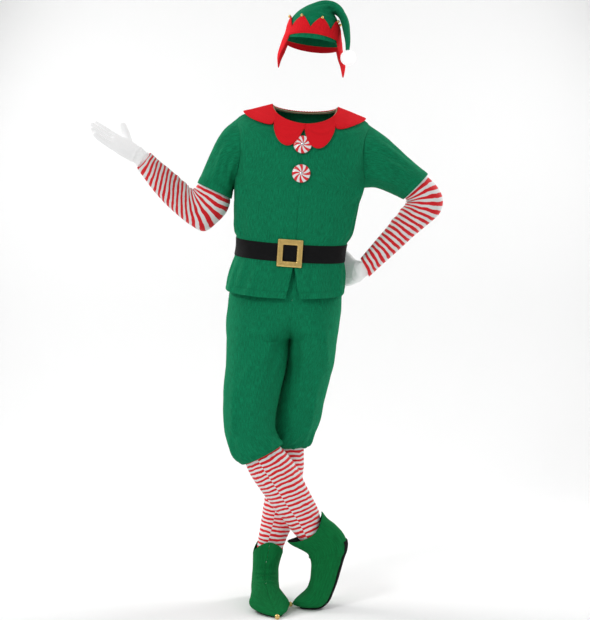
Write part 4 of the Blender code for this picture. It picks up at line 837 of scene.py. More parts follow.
# Stitches and yarn, made by Geometry Nodes
def stitch_tree():
    """Stitches along a path: short rods set at even steps, turned to follow it."""
    tree = bpy.data.node_groups.new("stitches along a path", "GeometryNodeTree")
    for label, kind in (("Geometry", "NodeSocketGeometry"), ("Step", NUMBER), ("Length", NUMBER),
                        ("Thickness", NUMBER), ("Thread", "NodeSocketMaterial")):
        tree.interface.new_socket(label, in_out="INPUT", socket_type=kind)
    tree.interface.new_socket("Geometry", in_out="OUTPUT", socket_type="NodeSocketGeometry")
    given, out = tree.nodes.new("NodeGroupInput"), tree.nodes.new("NodeGroupOutput")
    path = add_node(tree, "GeometryNodeMeshToCurve", {"Mesh": given.outputs["Geometry"]})
    even = add_node(tree, "GeometryNodeResampleCurve", {"Curve": path.outputs[0],
                                                        "Length": given.outputs["Step"]}, mode="LENGTH")
    tangent = add_node(tree, "GeometryNodeInputTangent")
    turned = add_node(tree, "FunctionNodeAlignEulerToVector", {"Vector": tangent.outputs[0]}, axis="Z")
    rod = add_node(tree, "GeometryNodeMeshUVSphere", {"Segments": 6, "Rings": 5, "Radius": 0.5})
    size = add_node(tree, "ShaderNodeCombineXYZ", {0: given.outputs["Thickness"], 1: given.outputs["Thickness"],
                                                   2: given.outputs["Length"]})
    rods = add_node(tree, "GeometryNodeInstanceOnPoints",
                    {"Points": even.outputs[0], "Instance": rod.outputs[0], "Rotation": turned.outputs[0],
                     "Scale": size.outputs[0]})
    real = add_node(tree, "GeometryNodeRealizeInstances", {"Geometry": rods.outputs[0]})
    dressed = add_node(tree, "GeometryNodeSetMaterial", {"Geometry": real.outputs[0],
                                                         "Material": given.outputs["Thread"]})
    tree.links.new(dressed.outputs[0], out.inputs[0])
    return tree


def yarn_tree():
    """Cut yarn standing on a core: many short curved strands, each turned its own way."""
    tree = bpy.data.node_groups.new("yarn on a core", "GeometryNodeTree")
    for label, kind in (("Geometry", "NodeSocketGeometry"), ("Strand", "NodeSocketGeometry"),
                        ("Density", NUMBER), ("Seed", "NodeSocketInt"), ("Yarn", "NodeSocketMaterial")):
        tree.interface.new_socket(label, in_out="INPUT", socket_type=kind)
    tree.interface.new_socket("Geometry", in_out="OUTPUT", socket_type="NodeSocketGeometry")
    given, out = tree.nodes.new("NodeGroupInput"), tree.nodes.new("NodeGroupOutput")
    scatter = add_node(tree, "GeometryNodeDistributePointsOnFaces",
                       {"Mesh": given.outputs["Geometry"], "Density": given.outputs["Density"],
                        "Seed": given.outputs["Seed"]})
    strand = add_node(tree, "GeometryNodeMeshCone", {"Vertices": 4, "Side Segments": 2, "Radius Top": 0.00012,
                                                     "Radius Bottom": 0.00042, "Depth": YARN_LENGTH})
    lean = add_node(tree, "FunctionNodeRandomValue", {0: (-0.22, -0.22, -3.14), 1: (0.22, 0.22, 3.14),
                                                      "Seed": given.outputs["Seed"]}, data_type="FLOAT_VECTOR")
    turned = add_node(tree, "FunctionNodeRotateEuler", {"Rotation": scatter.outputs["Rotation"],
                                                        "Rotate By": lean.outputs[0]}, space="LOCAL")
    longer = add_node(tree, "FunctionNodeRandomValue", {2: 0.86, 3: 1.06, "Seed": given.outputs["Seed"]},
                      data_type="FLOAT")
    size = add_node(tree, "ShaderNodeCombineXYZ", {0: 1.0, 1: 1.0, 2: longer.outputs[1]})
    strands = add_node(tree, "GeometryNodeInstanceOnPoints",
                       {"Points": scatter.outputs[0], "Instance": strand.outputs[0],
                        "Rotation": turned.outputs[0], "Scale": size.outputs[0]})
    both = add_node(tree, "GeometryNodeJoinGeometry")
    tree.links.new(given.outputs["Geometry"], both.inputs[0])
    tree.links.new(strands.outputs[0], both.inputs[0])
    real = add_node(tree, "GeometryNodeRealizeInstances", {"Geometry": both.outputs[0]})
    dressed = add_node(tree, "GeometryNodeSetMaterial", {"Geometry": real.outputs[0],
                                                         "Material": given.outputs["Yarn"]})
    tree.links.new(dressed.outputs[0], out.inputs[0])
    return tree


YARN_LENGTH = 0.0090


def run_tree(piece, tree, values):
    """Run a Geometry Nodes tree on a piece with named input values, and keep the result."""
    nodes = piece.modifiers.new("nodes", "NODES")
    nodes.node_group = tree
    for socket in tree.interface.items_tree:
        if socket.in_out == "INPUT" and socket.name in values:
            nodes[socket.identifier] = values[socket.name]
    return plain_mesh(piece)


def stitch_line(name, paths, thread, step=0.0042, length=0.0030, thickness=0.0007):
    """Lines of stitches along paths of points, as one piece."""
    vertices, edges = [], []
    for path in paths:
        start = len(vertices)
        vertices += hung(np.asarray(path)).tolist()
        edges += [(at, at + 1) for at in range(start, len(vertices) - 1)]
    mesh = bpy.data.meshes.new(name)
    mesh.from_pydata(vertices, edges, [])
    piece = new_object(name, mesh)
    tree = bpy.data.node_groups.get("stitches along a path") or stitch_tree()
    run_tree(piece, tree, {"Step": step, "Length": length, "Thickness": thickness, "Thread": material(thread)})
    return place_piece(piece, [])


# Tunic
TUNIC_FOLDS = [
    Fold(-70, 2.2, -52, 7.2, 7, 0.007),
    Fold(-42, 2.1, -46, 4.6, 5, 0.005),
    Fold(58, 2.1, 66, 6.4, 6, 0.006),
    Fold(38, 2.1, 33, 4.4, 5, 0.004),
    Fold(-30, 0.95, -38, -0.4, 5, 0.006),
    Fold(-62, 0.95, -60, -0.4, 6, 0.006),
    Fold(28, 0.95, 36, -0.4, 5, 0.005),
    Fold(60, 0.95, 62, -0.4, 6, 0.006),
    Fold(120, 2.1, 112, 6.0, 7, 0.007),
    Fold(150, 2.1, 155, 4.8, 6, 0.006),
    Fold(200, 2.1, 196, 4.8, 6, 0.006),
    Fold(240, 2.1, 246, 6.2, 7, 0.007),
    Fold(135, 0.95, 138, -0.4, 7, 0.007),
    Fold(180, 0.95, 180, -0.4, 7, 0.006),
    Fold(225, 0.95, 222, -0.4, 7, 0.007),
]
SLEEVE_RIGHT = [
    TubeRing(-0.247, 1.413, -0.214, 1.244, 0.008, 0.064, 0),
    TubeRing(-0.286, 1.340, -0.216, 1.232, 0.004, 0.060, 0),
    TubeRing(-0.321, 1.262, -0.219, 1.214, 0.000, 0.056, 0),
]
SLEEVE_LEFT = [
    TubeRing(0.248, 1.394, 0.216, 1.247, 0.020, 0.064, 0),
    TubeRing(0.308, 1.342, 0.256, 1.233, 0.040, 0.060, 0),
    TubeRing(0.372, 1.290, 0.298, 1.213, 0.060, 0.054, 0),
]
SLEEVE_RIGHT_FOLDS = [Fold(40, 0.4, 20, 2.6, 14, 0.004), Fold(110, 0.3, 130, 2.4, 14, 0.005),
                      Fold(250, 0.3, 240, 2.4, 16, 0.005)]
SLEEVE_LEFT_FOLDS = [Fold(60, 0.3, 40, 2.6, 14, 0.005), Fold(120, 0.3, 100, 2.5, 14, 0.006),
                     Fold(250, 0.3, 250, 2.4, 16, 0.005)]
TUNIC_CREASES = [
    Fold(-9, 2.05, -13, 3.5, 3, 0.0045), Fold(-20, 2.05, -26, 3.2, 3, -0.0033),
    Fold(-33, 2.05, -37, 3.9, 3, 0.0039), Fold(14, 2.05, 11, 3.1, 3, 0.0033),
    Fold(26, 2.05, 30, 3.7, 3, -0.0033), Fold(47, 2.05, 52, 3.9, 4, 0.0042),
    Fold(-57, 2.05, -62, 4.3, 4, -0.0036), Fold(-80, 2.05, -76, 5.2, 4, 0.0045),
    Fold(76, 2.05, 78, 5.0, 4, 0.0045), Fold(100, 2.05, 96, 4.2, 4, 0.0039),
    Fold(134, 2.05, 130, 4.4, 4, 0.0042), Fold(168, 2.05, 172, 3.8, 4, 0.0036),
    Fold(186, 2.05, 181, 4.7, 4, -0.0033), Fold(218, 2.05, 222, 4.1, 4, 0.0039),
    Fold(256, 2.05, 262, 4.5, 4, 0.0042), Fold(-16, 0.95, -22, 0.1, 4, 0.0045),
    Fold(-48, 0.95, -50, 0.0, 4, 0.0042), Fold(-78, 0.95, -80, 0.1, 5, 0.0045),
    Fold(16, 0.95, 20, 0.2, 4, 0.0039), Fold(44, 0.95, 49, 0.0, 4, -0.0036),
    Fold(80, 0.95, 84, 0.1, 5, 0.0045), Fold(112, 0.95, 108, 0.0, 5, 0.0042),
    Fold(158, 0.95, 162, 0.1, 5, 0.0042), Fold(203, 0.95, 199, 0.0, 5, 0.0045),
    Fold(250, 0.95, 254, 0.1, 5, 0.0042), Fold(-64, 8.6, -38, 5.4, 6, 0.0051),
    Fold(66, 8.4, 36, 5.9, 6, 0.0051), Fold(-70, 6.4, -44, 5.0, 6, 0.0060),
    Fold(72, 6.4, 48, 5.1, 6, 0.0060), Fold(116, 7.8, 150, 5.6, 7, 0.0060),
    Fold(244, 7.8, 212, 5.4, 7, 0.0060), Fold(-6, 7.6, -16, 4.6, 7, 0.0033),
]
SLEEVE_CREASES_RIGHT = [Fold(62, 0.5, 78, 2.7, 7, 0.0054), Fold(85, 0.2, 110, 1.6, 6, -0.0045),
                        Fold(150, 0.2, 140, 2.2, 8, 0.0054), Fold(200, 0.2, 215, 2.3, 8, 0.0054),
                        Fold(290, 0.5, 300, 2.6, 8, 0.0048)]
SLEEVE_CREASES_LEFT = [Fold(90, 0.2, 72, 2.4, 6, 0.0070), Fold(132, 0.2, 122, 2.2, 7, 0.0077),
                       Fold(40, 0.6, 30, 2.5, 6, -0.0042), Fold(205, 0.2, 220, 2.4, 8, 0.0058),
                       Fold(300, 0.6, 285, 2.6, 8, 0.0048)]
BELT_REST = (0.75, 2.25)     # places between which the cloth lies flat under the belt


def armhole_open(place):
    """Half of the armhole's opening, in turn, at each place on the tunic."""
    part = np.clip((place - UNDERARM) / (SHOULDER_TIP - UNDERARM), 0.0, 1.0)
    return ARMHOLE_HALF_TURN * np.sin(np.arccos(2.0 * part - 1.0))


def seam_turn(place):
    """Where the centre front seam lies."""
    return np.radians(smooth(TUNIC[:, -1:], place)[..., 0])


def panel_ends(tunic, place, panel):
    """Turns of one tunic panel's two edges at each place, half a seam gap clear of each seam."""
    clear = tunic.turn_for(SEAM_GAP / 2.0, pi / 2.0, place) + armhole_open(place)
    front = seam_turn(place)
    split = HEM_SPLIT_HALF * np.clip(1.0 - place / BELT_LOW, 0.0, 1.0) ** 1.3
    front_clear = tunic.turn_for(SEAM_GAP / 2.0 + split, front, place)
    ends = {"front_right": (-pi / 2.0 + clear, front - front_clear),
            "front_left": (front + front_clear, pi / 2.0 - clear),
            "back": (pi / 2.0 + clear, 3.0 * pi / 2.0 - clear)}
    return ends[panel]


def tunic_places(tunic):
    """Rows of the tunic: even below and above the armhole, and set by the sleeve's columns beside it."""
    low = places_along(tunic, 0.6, 0.0, float(UNDERARM), extra=(HEM_DEPTH,), both=False)
    turns = np.linspace(0.0, pi, ARMHOLE_STEPS + 1)
    hole = UNDERARM + (SHOULDER_TIP - UNDERARM) * (1.0 - np.cos(turns)) / 2.0
    high = places_along(tunic, 0.6, float(SHOULDER_TIP), float(NECKLINE), both=False)
    return np.concatenate([low[:-1], hole, high[1:]])


def spread_shares(length, step=STEP):
    distances = edge_spread(length, step)
    return distances / length


def rolled_edge(distance, dip=SEAM_DIP, roll=SEAM_ROLL):
    """How far cloth turns in near an edge or a seam."""
    return -dip * np.exp(-(distance / roll) ** 2)


def hem_relief(distance):
    """A hem's doubled cloth, with a groove along its stitches."""
    return 0.0006 * (1.0 - ease(HEM_DEPTH, HEM_DEPTH + 0.003, distance)) - 0.0009 * bump_at(
        distance, HEM_DEPTH, 0.0011)


def cloth_waves(surface, turn, place, seed, scale=1.0):
    """Small uneven waves in hanging cloth, 60 mm and 20 mm across."""
    points = surface.base(turn, place)
    return scale * (0.0012 * unevenness(points, 0.060, seed) + 0.0005 * unevenness(points, 0.020, seed + 1))


def end_distance(surface, turn, place, at):
    """Distance along each column from its first or last row."""
    walked = measured(surface.base(turn, place), 0)
    return walked if at == 0 else walked[-1:] - walked


def build_tunic():
    tunic = TunicSurface(TUNIC_FOLDS + TUNIC_CREASES)
    places = tunic_places(tunic)
    fleece = [material("tunic fleece")]
    for panel, length in (("front_right", 0.27), ("front_left", 0.27), ("back", 0.54)):
        start, end = panel_ends(tunic, places, panel)
        shares = spread_shares(length)
        turn = start[:, None] + (end - start)[:, None] * shares[None, :]
        place = np.repeat(places[:, None], len(shares), 1)
        slack = 1.0 - ease(BELT_REST[0] - 0.3, BELT_REST[0] + 0.1, place) + ease(
            BELT_REST[1] - 0.1, BELT_REST[1] + 0.3, place)
        gathers = 0.0011 * np.sin(turn * 57.0 + 3.0 * np.sin(turn * 9.0)) * (
            bump_at(place, 2.35, 0.5) + bump_at(place, 0.72, 0.4))
        lift = (rolled_edge(edge_distance(tunic, turn, place)) + rolled_edge(end_distance(tunic, turn, place, 0))
                + hem_relief(end_distance(tunic, turn, place, 0))
                + slack * (gathers + cloth_waves(tunic, turn, place, 11)))
        piece = cloth("tunic_" + panel, tunic, turn, place, FLEECE, fleece, lift)
        declare(piece)
    stitches = []
    for panel in ("front_right", "front_left", "back"):
        hem = np.interp(HEM_DEPTH, *walk_up(tunic, 0.6))
        row = np.full(120, hem)
        start, end = panel_ends(tunic, row, panel)
        stitches.append(tunic.point(start + (end - start) * np.linspace(0.01, 0.99, 120), row, 0.0001))
    stitch_line("tunic_hem_stitches", stitches, "green thread")
    for name, side, rings, folds in (
            ("right", -pi / 2.0, SLEEVE_RIGHT, SLEEVE_RIGHT_FOLDS + SLEEVE_CREASES_RIGHT),
            ("left", pi / 2.0, SLEEVE_LEFT, SLEEVE_LEFT_FOLDS + SLEEVE_CREASES_LEFT)):
        build_short_sleeve(tunic, name, TunicSleeve(tunic, side, rings, folds))


def walk_up(surface, turn, low=0.0, high=3.0):
    """Distances from the low edge, and the places they lie at, for np.interp."""
    places = np.linspace(low, high, 400)
    return measured(surface.base(np.full(400, turn), places), 0), places


def build_short_sleeve(tunic, name, sleeve):
    turns = np.linspace(0.0, 2.0 * pi, 2 * ARMHOLE_STEPS + 1)
    places = 3.0 - places_along_back(sleeve, pi / 2.0, 3.0)
    turn = np.repeat(turns[None, :], len(places), 0)
    place = np.repeat(places[:, None], len(turns), 1)
    from_hem = end_distance(sleeve, turn, place, 1)
    waves = ease(0.0, 0.6, place) * cloth_waves(sleeve, turn, place, 23)
    lift = hem_relief(from_hem) + rolled_edge(from_hem, 0.0009) + waves
    piece = cloth("tunic_sleeve_" + name, sleeve, turn, place, FLEECE, [material("tunic fleece")],
                  lift, closed=True)
    declare(piece)
    hem = np.array([np.interp(HEM_DEPTH, end, at) for end, at in zip(from_hem.T[:, ::-1], place.T[:, ::-1])])
    line = sleeve.point(turns, hem, 0.0001)
    stitch_line("sleeve_hem_stitches_" + name, [line], "green thread")


def places_along_back(surface, turn, last):
    """Distances in rows from a tube's last row back to its first, close together at the hem."""
    sample = np.linspace(last, 0.0, 500)
    walked = measured(surface.base(np.full(500, turn), sample), 0)
    distances = np.concatenate([edge_spread(walked[-1]), HEM_DEPTH + np.array([-0.0012, 0.0, 0.0012])])
    distances = np.unique(distances.round(5))
    distances[-1] = walked[-1]
    return (last - np.interp(distances, walked, sample))[::-1]


# Collar of six petals, neck tape
Petal = namedtuple("Petal", "turn_start turn_end length notch_start notch_end")
PETALS = [
    Petal(0, 62, 0.083, 0.006, 0.030),
    Petal(62, 121, 0.090, 0.030, 0.030),
    Petal(121, 180, 0.084, 0.030, 0.014),
    Petal(180, 239, 0.084, 0.014, 0.030),
    Petal(239, 298, 0.090, 0.030, 0.030),
    Petal(298, 360, 0.083, 0.030, 0.006),
]
COLLAR_PROUD = 0.0022
COLLAR_EDGE_LIFT = 0.0030
PETAL_FINE = 44
COLLAR_CURL = 0.0026         # how far the petals' edges stand off


def petal_length(petal, part):
    """How far the petal reaches below the neckline, across its width from 0 to 1."""
    notch = petal.notch_start + (petal.notch_end - petal.notch_start) * part
    return notch + (petal.length - notch) * (1.0 - (2.0 * part - 1.0) ** 2) ** 0.7


class CollarSurface(TunicSurface):
    """The tunic's own surface, standing a little further off below the neckline."""

    def point(self, turn, place, lift=0.0):
        off = COLLAR_EDGE_LIFT * np.minimum(1.0, (NECKLINE - place) / 2.0)
        return super().point(turn, place, lift + off)


def hang_straight(surface, turn, distance):
    """Turn and place of the petals' points: they hang straight down at the front and the back."""
    side = np.abs(np.sin(turn))
    share = 1.0 - ease(sin(radians(62.0)), 1.0, side)
    neck = surface.base(np.full(turn.shape, pi / 2.0), np.full(turn.shape, float(NECKLINE)))[..., 0]
    hung_turn = turn
    for _ in range(3):
        place = surface.place_below_neck(hung_turn, distance)
        width = surface.base(np.full(turn.shape, pi / 2.0), place)[..., 0]
        straight = np.arcsin(np.clip(side * neck / np.maximum(width, neck), 0.0, 1.0))
        across = np.arcsin(np.clip(side, 0.0, 1.0))
        inward = (across - straight) * share
        quarter = np.sign(np.cos(turn)) * np.sign(np.sin(turn))
        hung_turn = turn - inward * quarter
    return hung_turn, surface.place_below_neck(hung_turn, distance)


def build_collar():
    surface = CollarSurface()
    turns, lengths, parts = [], [], []
    for petal in PETALS:
        part = (1.0 - np.cos(pi * np.arange(PETAL_FINE) / PETAL_FINE)) / 2.0
        turns.append(np.radians(petal.turn_start + (petal.turn_end - petal.turn_start) * part))
        lengths.append(petal_length(petal, part))
        parts.append(part)
    turns, lengths = np.concatenate(turns + [[2.0 * pi]]), np.concatenate(lengths + [[PETALS[0].notch_start]])
    parts = np.concatenate(parts + [[0.0]])
    shares = 1.0 - spread_shares(0.084, 0.0035)[::-1]
    turn = np.repeat(turns[None, :], len(shares), 0)
    turn, place = hang_straight(surface, turn, shares[::-1, None] * lengths[None, :])
    across = np.abs(2.0 * parts - 1.0)[None, :]
    reach = shares[::-1, None]
    curl = COLLAR_CURL * reach ** 3 * (1.0 - 0.6 * across) + 0.0012 * np.sin(turn * 7.0 + 1.0) * reach
    gather = 0.0009 * np.sin(turn * 90.0 + 4.0 * np.sin(turn * 5.0)) * np.exp(-reach * lengths[None, :] / 0.012)
    lift = FELT + COLLAR_PROUD + curl + gather + rolled_edge((1.0 - reach) * lengths[None, :], 0.0008)
    piece = cloth("tunic_collar", surface, turn, place, FELT, [material("collar felt")], lift,
                  closed=True)
    declare(piece)
    edge_turns, edge = hang_straight(surface, turns[None, :], np.maximum(lengths - 0.0032, 0.002)[None, :])
    line = surface.point(edge_turns[0], edge[0], FELT + COLLAR_PROUD + COLLAR_CURL * 0.8)
    stitch_line("collar_edge_stitches", [line], "red thread", 0.0036, 0.0024, 0.0006)
    tape_turns = np.linspace(0.0, 2.0 * pi, 161)
    tape_places = np.linspace(10.88, 11.06, 7)
    turn, place = np.meshgrid(tape_turns, tape_places)
    lift = -FLEECE - LAID_ON + 0.0003 * np.sin(turn * 60.0)
    piece = cloth("neck_tape", TunicSurface(), turn, place, 0.0012, [material("tape cotton")],
                  lift, closed=True)
    declare(piece)


# Belt, buckle, buttons
BELT_THICK = 0.0016
BELT_PROUD = 0.0005
BUCKLE_WIDTH, BUCKLE_HEIGHT, BUCKLE_THICK, BUCKLE_BAR = 0.074, 0.081, 0.0045, 0.0165
BUCKLE_CENTRE = (-0.045, 1.054)
BUCKLE_TILT = 4.0
BUTTON_RADIUS, BUTTON_THICK = 0.027, 0.009
CORDS = 26                   # cords along the elastic belt


def build_belt():
    surface = TunicSurface()
    turns = np.linspace(0.0, 2.0 * pi, 321)
    places = np.interp(edge_spread(0.056, 0.0011, (0.0, 0.0005, 0.0012)) / 0.056, (0.0, 1.0), (1.0, 2.0))
    turn, place = np.meshgrid(turns, places)
    across = (place - BELT_LOW) * 0.056
    cords = 0.00016 * np.sin(place * CORDS * 2.0 * pi)
    roll = rolled_edge(across, 0.0007, 0.0012) + rolled_edge(0.056 - across, 0.0007, 0.0012)
    lift = BELT_THICK + BELT_PROUD + cords + roll + 0.0005 * np.sin(turn * 11.0) * np.sin(place * 3.0)
    piece = cloth("belt", surface, turn, place, BELT_THICK, [material("belt webbing")], lift,
                  closed=True)
    declare(piece)


def rounded_frame(half_width, half_height, corner, count=9):
    """Outline of a frame's edge, starting at the right, with rounded corners."""
    points = []
    for quarter, (side, up) in enumerate(((1, 1), (-1, 1), (-1, -1), (1, -1))):
        for step in range(count):
            angle = pi / 2.0 * (quarter + step / (count - 1.0))
            points.append((side * (half_width - corner) + corner * cos(angle),
                           up * (half_height - corner) + corner * sin(angle)))
    return points


BUCKLE_STEP = 0.0016         # between the points that carry the hammered dents


def build_buckle(hammering):
    """Foil frame: a swept, slightly crowned bar with rounded edges and hammered dents."""
    _, high = [Vector(corner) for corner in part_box("belt_buckle")]
    half_width, half_height, bar = BUCKLE_WIDTH / 2.0, BUCKLE_HEIGHT / 2.0, BUCKLE_BAR
    # Across the bar from its inner back edge: share of the bar's width, and share of its thickness
    section = [(0.0, 0.0), (0.0, 0.45), (0.02, 0.66), (0.07, 0.82), (0.16, 0.93), (0.30, 0.985), (0.5, 1.0),
               (0.70, 0.985), (0.84, 0.93), (0.93, 0.82), (0.98, 0.66), (1.0, 0.45), (1.0, 0.0)]
    bm = bmesh.new()
    outlines = []
    for share, rise in section:
        width, height = half_width - bar * (1.0 - share), half_height - bar * (1.0 - share)
        outline = rounded_frame(width, height, 0.0012 + 0.0018 * share)
        outlines.append((list(zip(outline, outline[1:] + outline[:1])), rise))
    counts = [max(1, int(np.hypot(there[0] - here[0], there[1] - here[1]) / BUCKLE_STEP))
              for here, there in outlines[-1][0]]
    made = []
    for path, rise in outlines:
        ring = []
        for (here, there), steps in zip(path, counts):
            for step in range(steps):
                part = step / steps
                ring.append(bm.verts.new((here[0] + (there[0] - here[0]) * part, -BUCKLE_THICK * rise,
                                          here[1] + (there[1] - here[1]) * part)))
        made.append(ring)
    made.append(made[0])
    for one, two in zip(made, made[1:]):
        for at in range(len(one)):
            after = (at + 1) % len(one)
            bm.faces.new((one[at], one[after], two[after], two[at]))
    places = np.array([vertex.co[:] for vertex in bm.verts])
    dents = hammering * (unevenness(places + 3.0, 0.0042, 31) * 0.7 + unevenness(places + 3.0, 0.0021, 32) * 0.3)
    for vertex, dent in zip(bm.verts, dents):
        if vertex.co.y < -BUCKLE_THICK * 0.7:
            vertex.co.y += dent
    bmesh.ops.recalc_face_normals(bm, faces=bm.faces)
    mesh = bpy.data.meshes.new("belt_buckle")
    x, height = BUCKLE_CENTRE
    place = (Matrix.Translation((x, high.y, height - SHOULDER_HEIGHT))
             @ Matrix.Rotation(radians(BUCKLE_TILT), 4, "Y"))
    bm.transform(place)
    bm.to_mesh(mesh)
    bm.free()
    piece = new_object("belt_buckle_frame", mesh, material("buckle foil"))
    mesh.shade_smooth()
    mesh.set_sharp_from_angle(angle=radians(55.0))
    place_piece(piece, ["belt_buckle"])


def node_points(name):
    return np.array([vertex.co[:] for vertex in frame["nodes"][name].data.vertices])


def button_frame(name):
    """Centre of a button's back, and its outward, sideways and upward directions, from its solid."""
    points = node_points(name)
    middle = points.mean(0)
    _, _, axes = np.linalg.svd(points - middle, full_matrices=False)
    out = axes[2] if axes[2][1] < 0.0 else -axes[2]
    side = np.cross((0.0, 0.0, 1.0), -out)
    side /= np.linalg.norm(side)
    up = np.cross(side, out)
    if up[2] < 0.0:
        side, up = -side, -up
    depth = (points - middle) @ out
    back = middle + out * depth.min()
    back = back + side * (((points - back) @ side).max() + ((points - back) @ side).min()) / 2.0
    back = back + up * (((points - back) @ up).max() + ((points - back) @ up).min()) / 2.0
    return back, out, side, up


BUTTON_PROFILE = [(0.0, 0.0), (0.92, 0.0), (0.975, 0.0006), (1.0, 0.0018), (1.0, 0.0034), (0.985, 0.0045),
                  (0.955, 0.0052), (0.93, 0.0055), (0.90, 0.0054), (0.86, 0.0058), (0.76, 0.0066),
                  (0.62, 0.0074), (0.46, 0.0080), (0.30, 0.0084), (0.215, 0.0085), (0.195, 0.0083),
                  (0.0, 0.0083)]
STONE_PROFILE = [(0.19, 0.0), (0.19, 0.0012), (0.165, 0.0022), (0.12, 0.0030), (0.0, 0.0032)]
BUTTON_SIDES = 96


def build_button(name, wedges):
    back, out, side, up = button_frame(name)
    vertices, faces, uvs = [], [], []
    for profile, sides, base, low in ((BUTTON_PROFILE, BUTTON_SIDES, 0.0, 0), (STONE_PROFILE, 8, 0.0079, 1)):
        start = len(vertices)
        for radius, height in profile:
            for step in range(sides):
                angle = 2.0 * pi * step / sides
                r = max(radius, 0.0005) * BUTTON_RADIUS
                ribs = 0.00035 * cos(wedges * (angle + 0.9 * radius)) * (0.25 < radius < 0.9)
                crown = 0.0 if low else ribs
                a, b = r * cos(angle), r * sin(angle)
                vertices.append(back + side * a + up * b + out * (base + height + crown))
                uvs.append((a / BUTTON_RADIUS, b / BUTTON_RADIUS))
        for row in range(len(profile) - 1):
            for step in range(sides):
                one, two = start + row * sides, start + (row + 1) * sides
                after = (step + 1) % sides
                faces.append((one + step, one + after, two + after, two + step, low))
        faces.append((*range(start, start + sides), low))
        faces.append((*range(start + (len(profile) - 1) * sides, start + len(profile) * sides), low))
    mesh = bpy.data.meshes.new(name)
    mesh.from_pydata([tuple(v) for v in vertices], [], [face[:-1] for face in faces])
    layer = mesh.uv_layers.new(name="cloth")
    for loop in mesh.loops:
        layer.data[loop.index].uv = uvs[loop.vertex_index]
    for polygon, face in zip(mesh.polygons, faces):
        polygon.material_index = face[-1]
    piece = new_object(name + "_face", mesh, material("candy enamel"), material("button stone"))
    turn_outward(mesh)
    mesh.shade_smooth()
    mesh.set_sharp_from_angle(angle=radians(40.0))
    place_piece(piece, [name])


def turn_outward(mesh):
    bm = bmesh.new()
    bm.from_mesh(mesh)
    bmesh.ops.recalc_face_normals(bm, faces=bm.faces)
    bm.to_mesh(mesh)
    bm.free()


# Breeches
BREECHES_RIGHT_FOLDS = [
    Fold(60, 1.2, 50, 5.2, 10, 0.005), Fold(95, 3.0, 130, 7.5, 9, 0.006),
    Fold(20, 0.4, 35, 2.6, 10, 0.006),
    Fold(100, 0.3, 85, 2.4, 9, 0.006), Fold(-60, 1.0, -70, 5.0, 11, 0.006),
    Fold(-110, 3.5, -95, 7.8, 11, 0.006),
    Fold(-20, 0.4, -30, 2.6, 10, 0.006), Fold(-130, 0.4, -125, 2.8, 10, 0.006),
    Fold(150, 0.4, 150, 2.4, 9, 0.005),
]
BREECHES_LEFT_FOLDS = [
    Fold(50, 0.8, 60, 4.8, 10, 0.006), Fold(100, 3.6, 130, 7.6, 9, 0.006),
    Fold(-60, 1.0, -60, 5.0, 11, 0.006),
    Fold(-110, 3.5, -95, 7.8, 11, 0.006), Fold(20, 0.3, 25, 2.4, 10, 0.006),
    Fold(-25, 0.3, -25, 2.4, 10, 0.006),
    Fold(110, 0.3, 105, 2.4, 10, 0.006), Fold(-130, 0.4, -125, 2.6, 10, 0.006),
]
BREECHES_CREASES_RIGHT = [
    Fold(180, 5.98, 180, 3.6, 26, 0.0042),
    Fold(125, 6.6, 88, 4.6, 7, 0.0075), Fold(150, 5.9, 120, 4.2, 7, 0.0060),
    Fold(96, 5.8, 60, 4.2, 8, 0.0054),
    Fold(140, 2.6, 120, 0.7, 7, 0.0075), Fold(70, 3.4, 45, 2.0, 8, -0.0051),
    Fold(40, 0.1, 55, 1.4, 7, 0.0051),
    Fold(75, 0.1, 68, 1.3, 6, 0.0045), Fold(115, 0.1, 110, 1.2, 6, 0.0048),
    Fold(-45, 0.1, -50, 1.4, 8, 0.0054),
    Fold(-85, 0.1, -92, 1.6, 8, 0.0051), Fold(-150, 6.4, -100, 4.8, 8, 0.0066),
    Fold(170, 0.2, 165, 1.8, 7, 0.0051),
    Fold(118, 7.9, 96, 6.3, 7, 0.0051), Fold(-80, 8.4, -50, 5.6, 9, 0.0060),
]
BREECHES_CREASES_LEFT = [
    Fold(180, 5.98, 180, 3.9, 26, 0.0062),
    Fold(128, 6.5, 92, 4.9, 7, 0.0066), Fold(110, 5.4, 70, 3.7, 8, 0.0054),
    Fold(80, 6.8, 45, 5.0, 8, 0.0054),
    Fold(60, 2.6, 92, 1.2, 7, 0.0060), Fold(30, 0.1, 42, 1.4, 7, 0.0051),
    Fold(70, 0.1, 74, 1.2, 6, 0.0045),
    Fold(130, 0.1, 122, 1.5, 7, 0.0051), Fold(-50, 0.1, -46, 1.4, 8, 0.0054),
    Fold(-95, 0.1, -88, 1.5, 8, 0.0051),
    Fold(-150, 6.4, -100, 4.6, 8, 0.0066), Fold(175, 0.2, 168, 1.7, 7, 0.0051),
    Fold(-75, 8.4, -45, 5.8, 9, 0.0060),
]
BREECHES_COLUMNS = 100


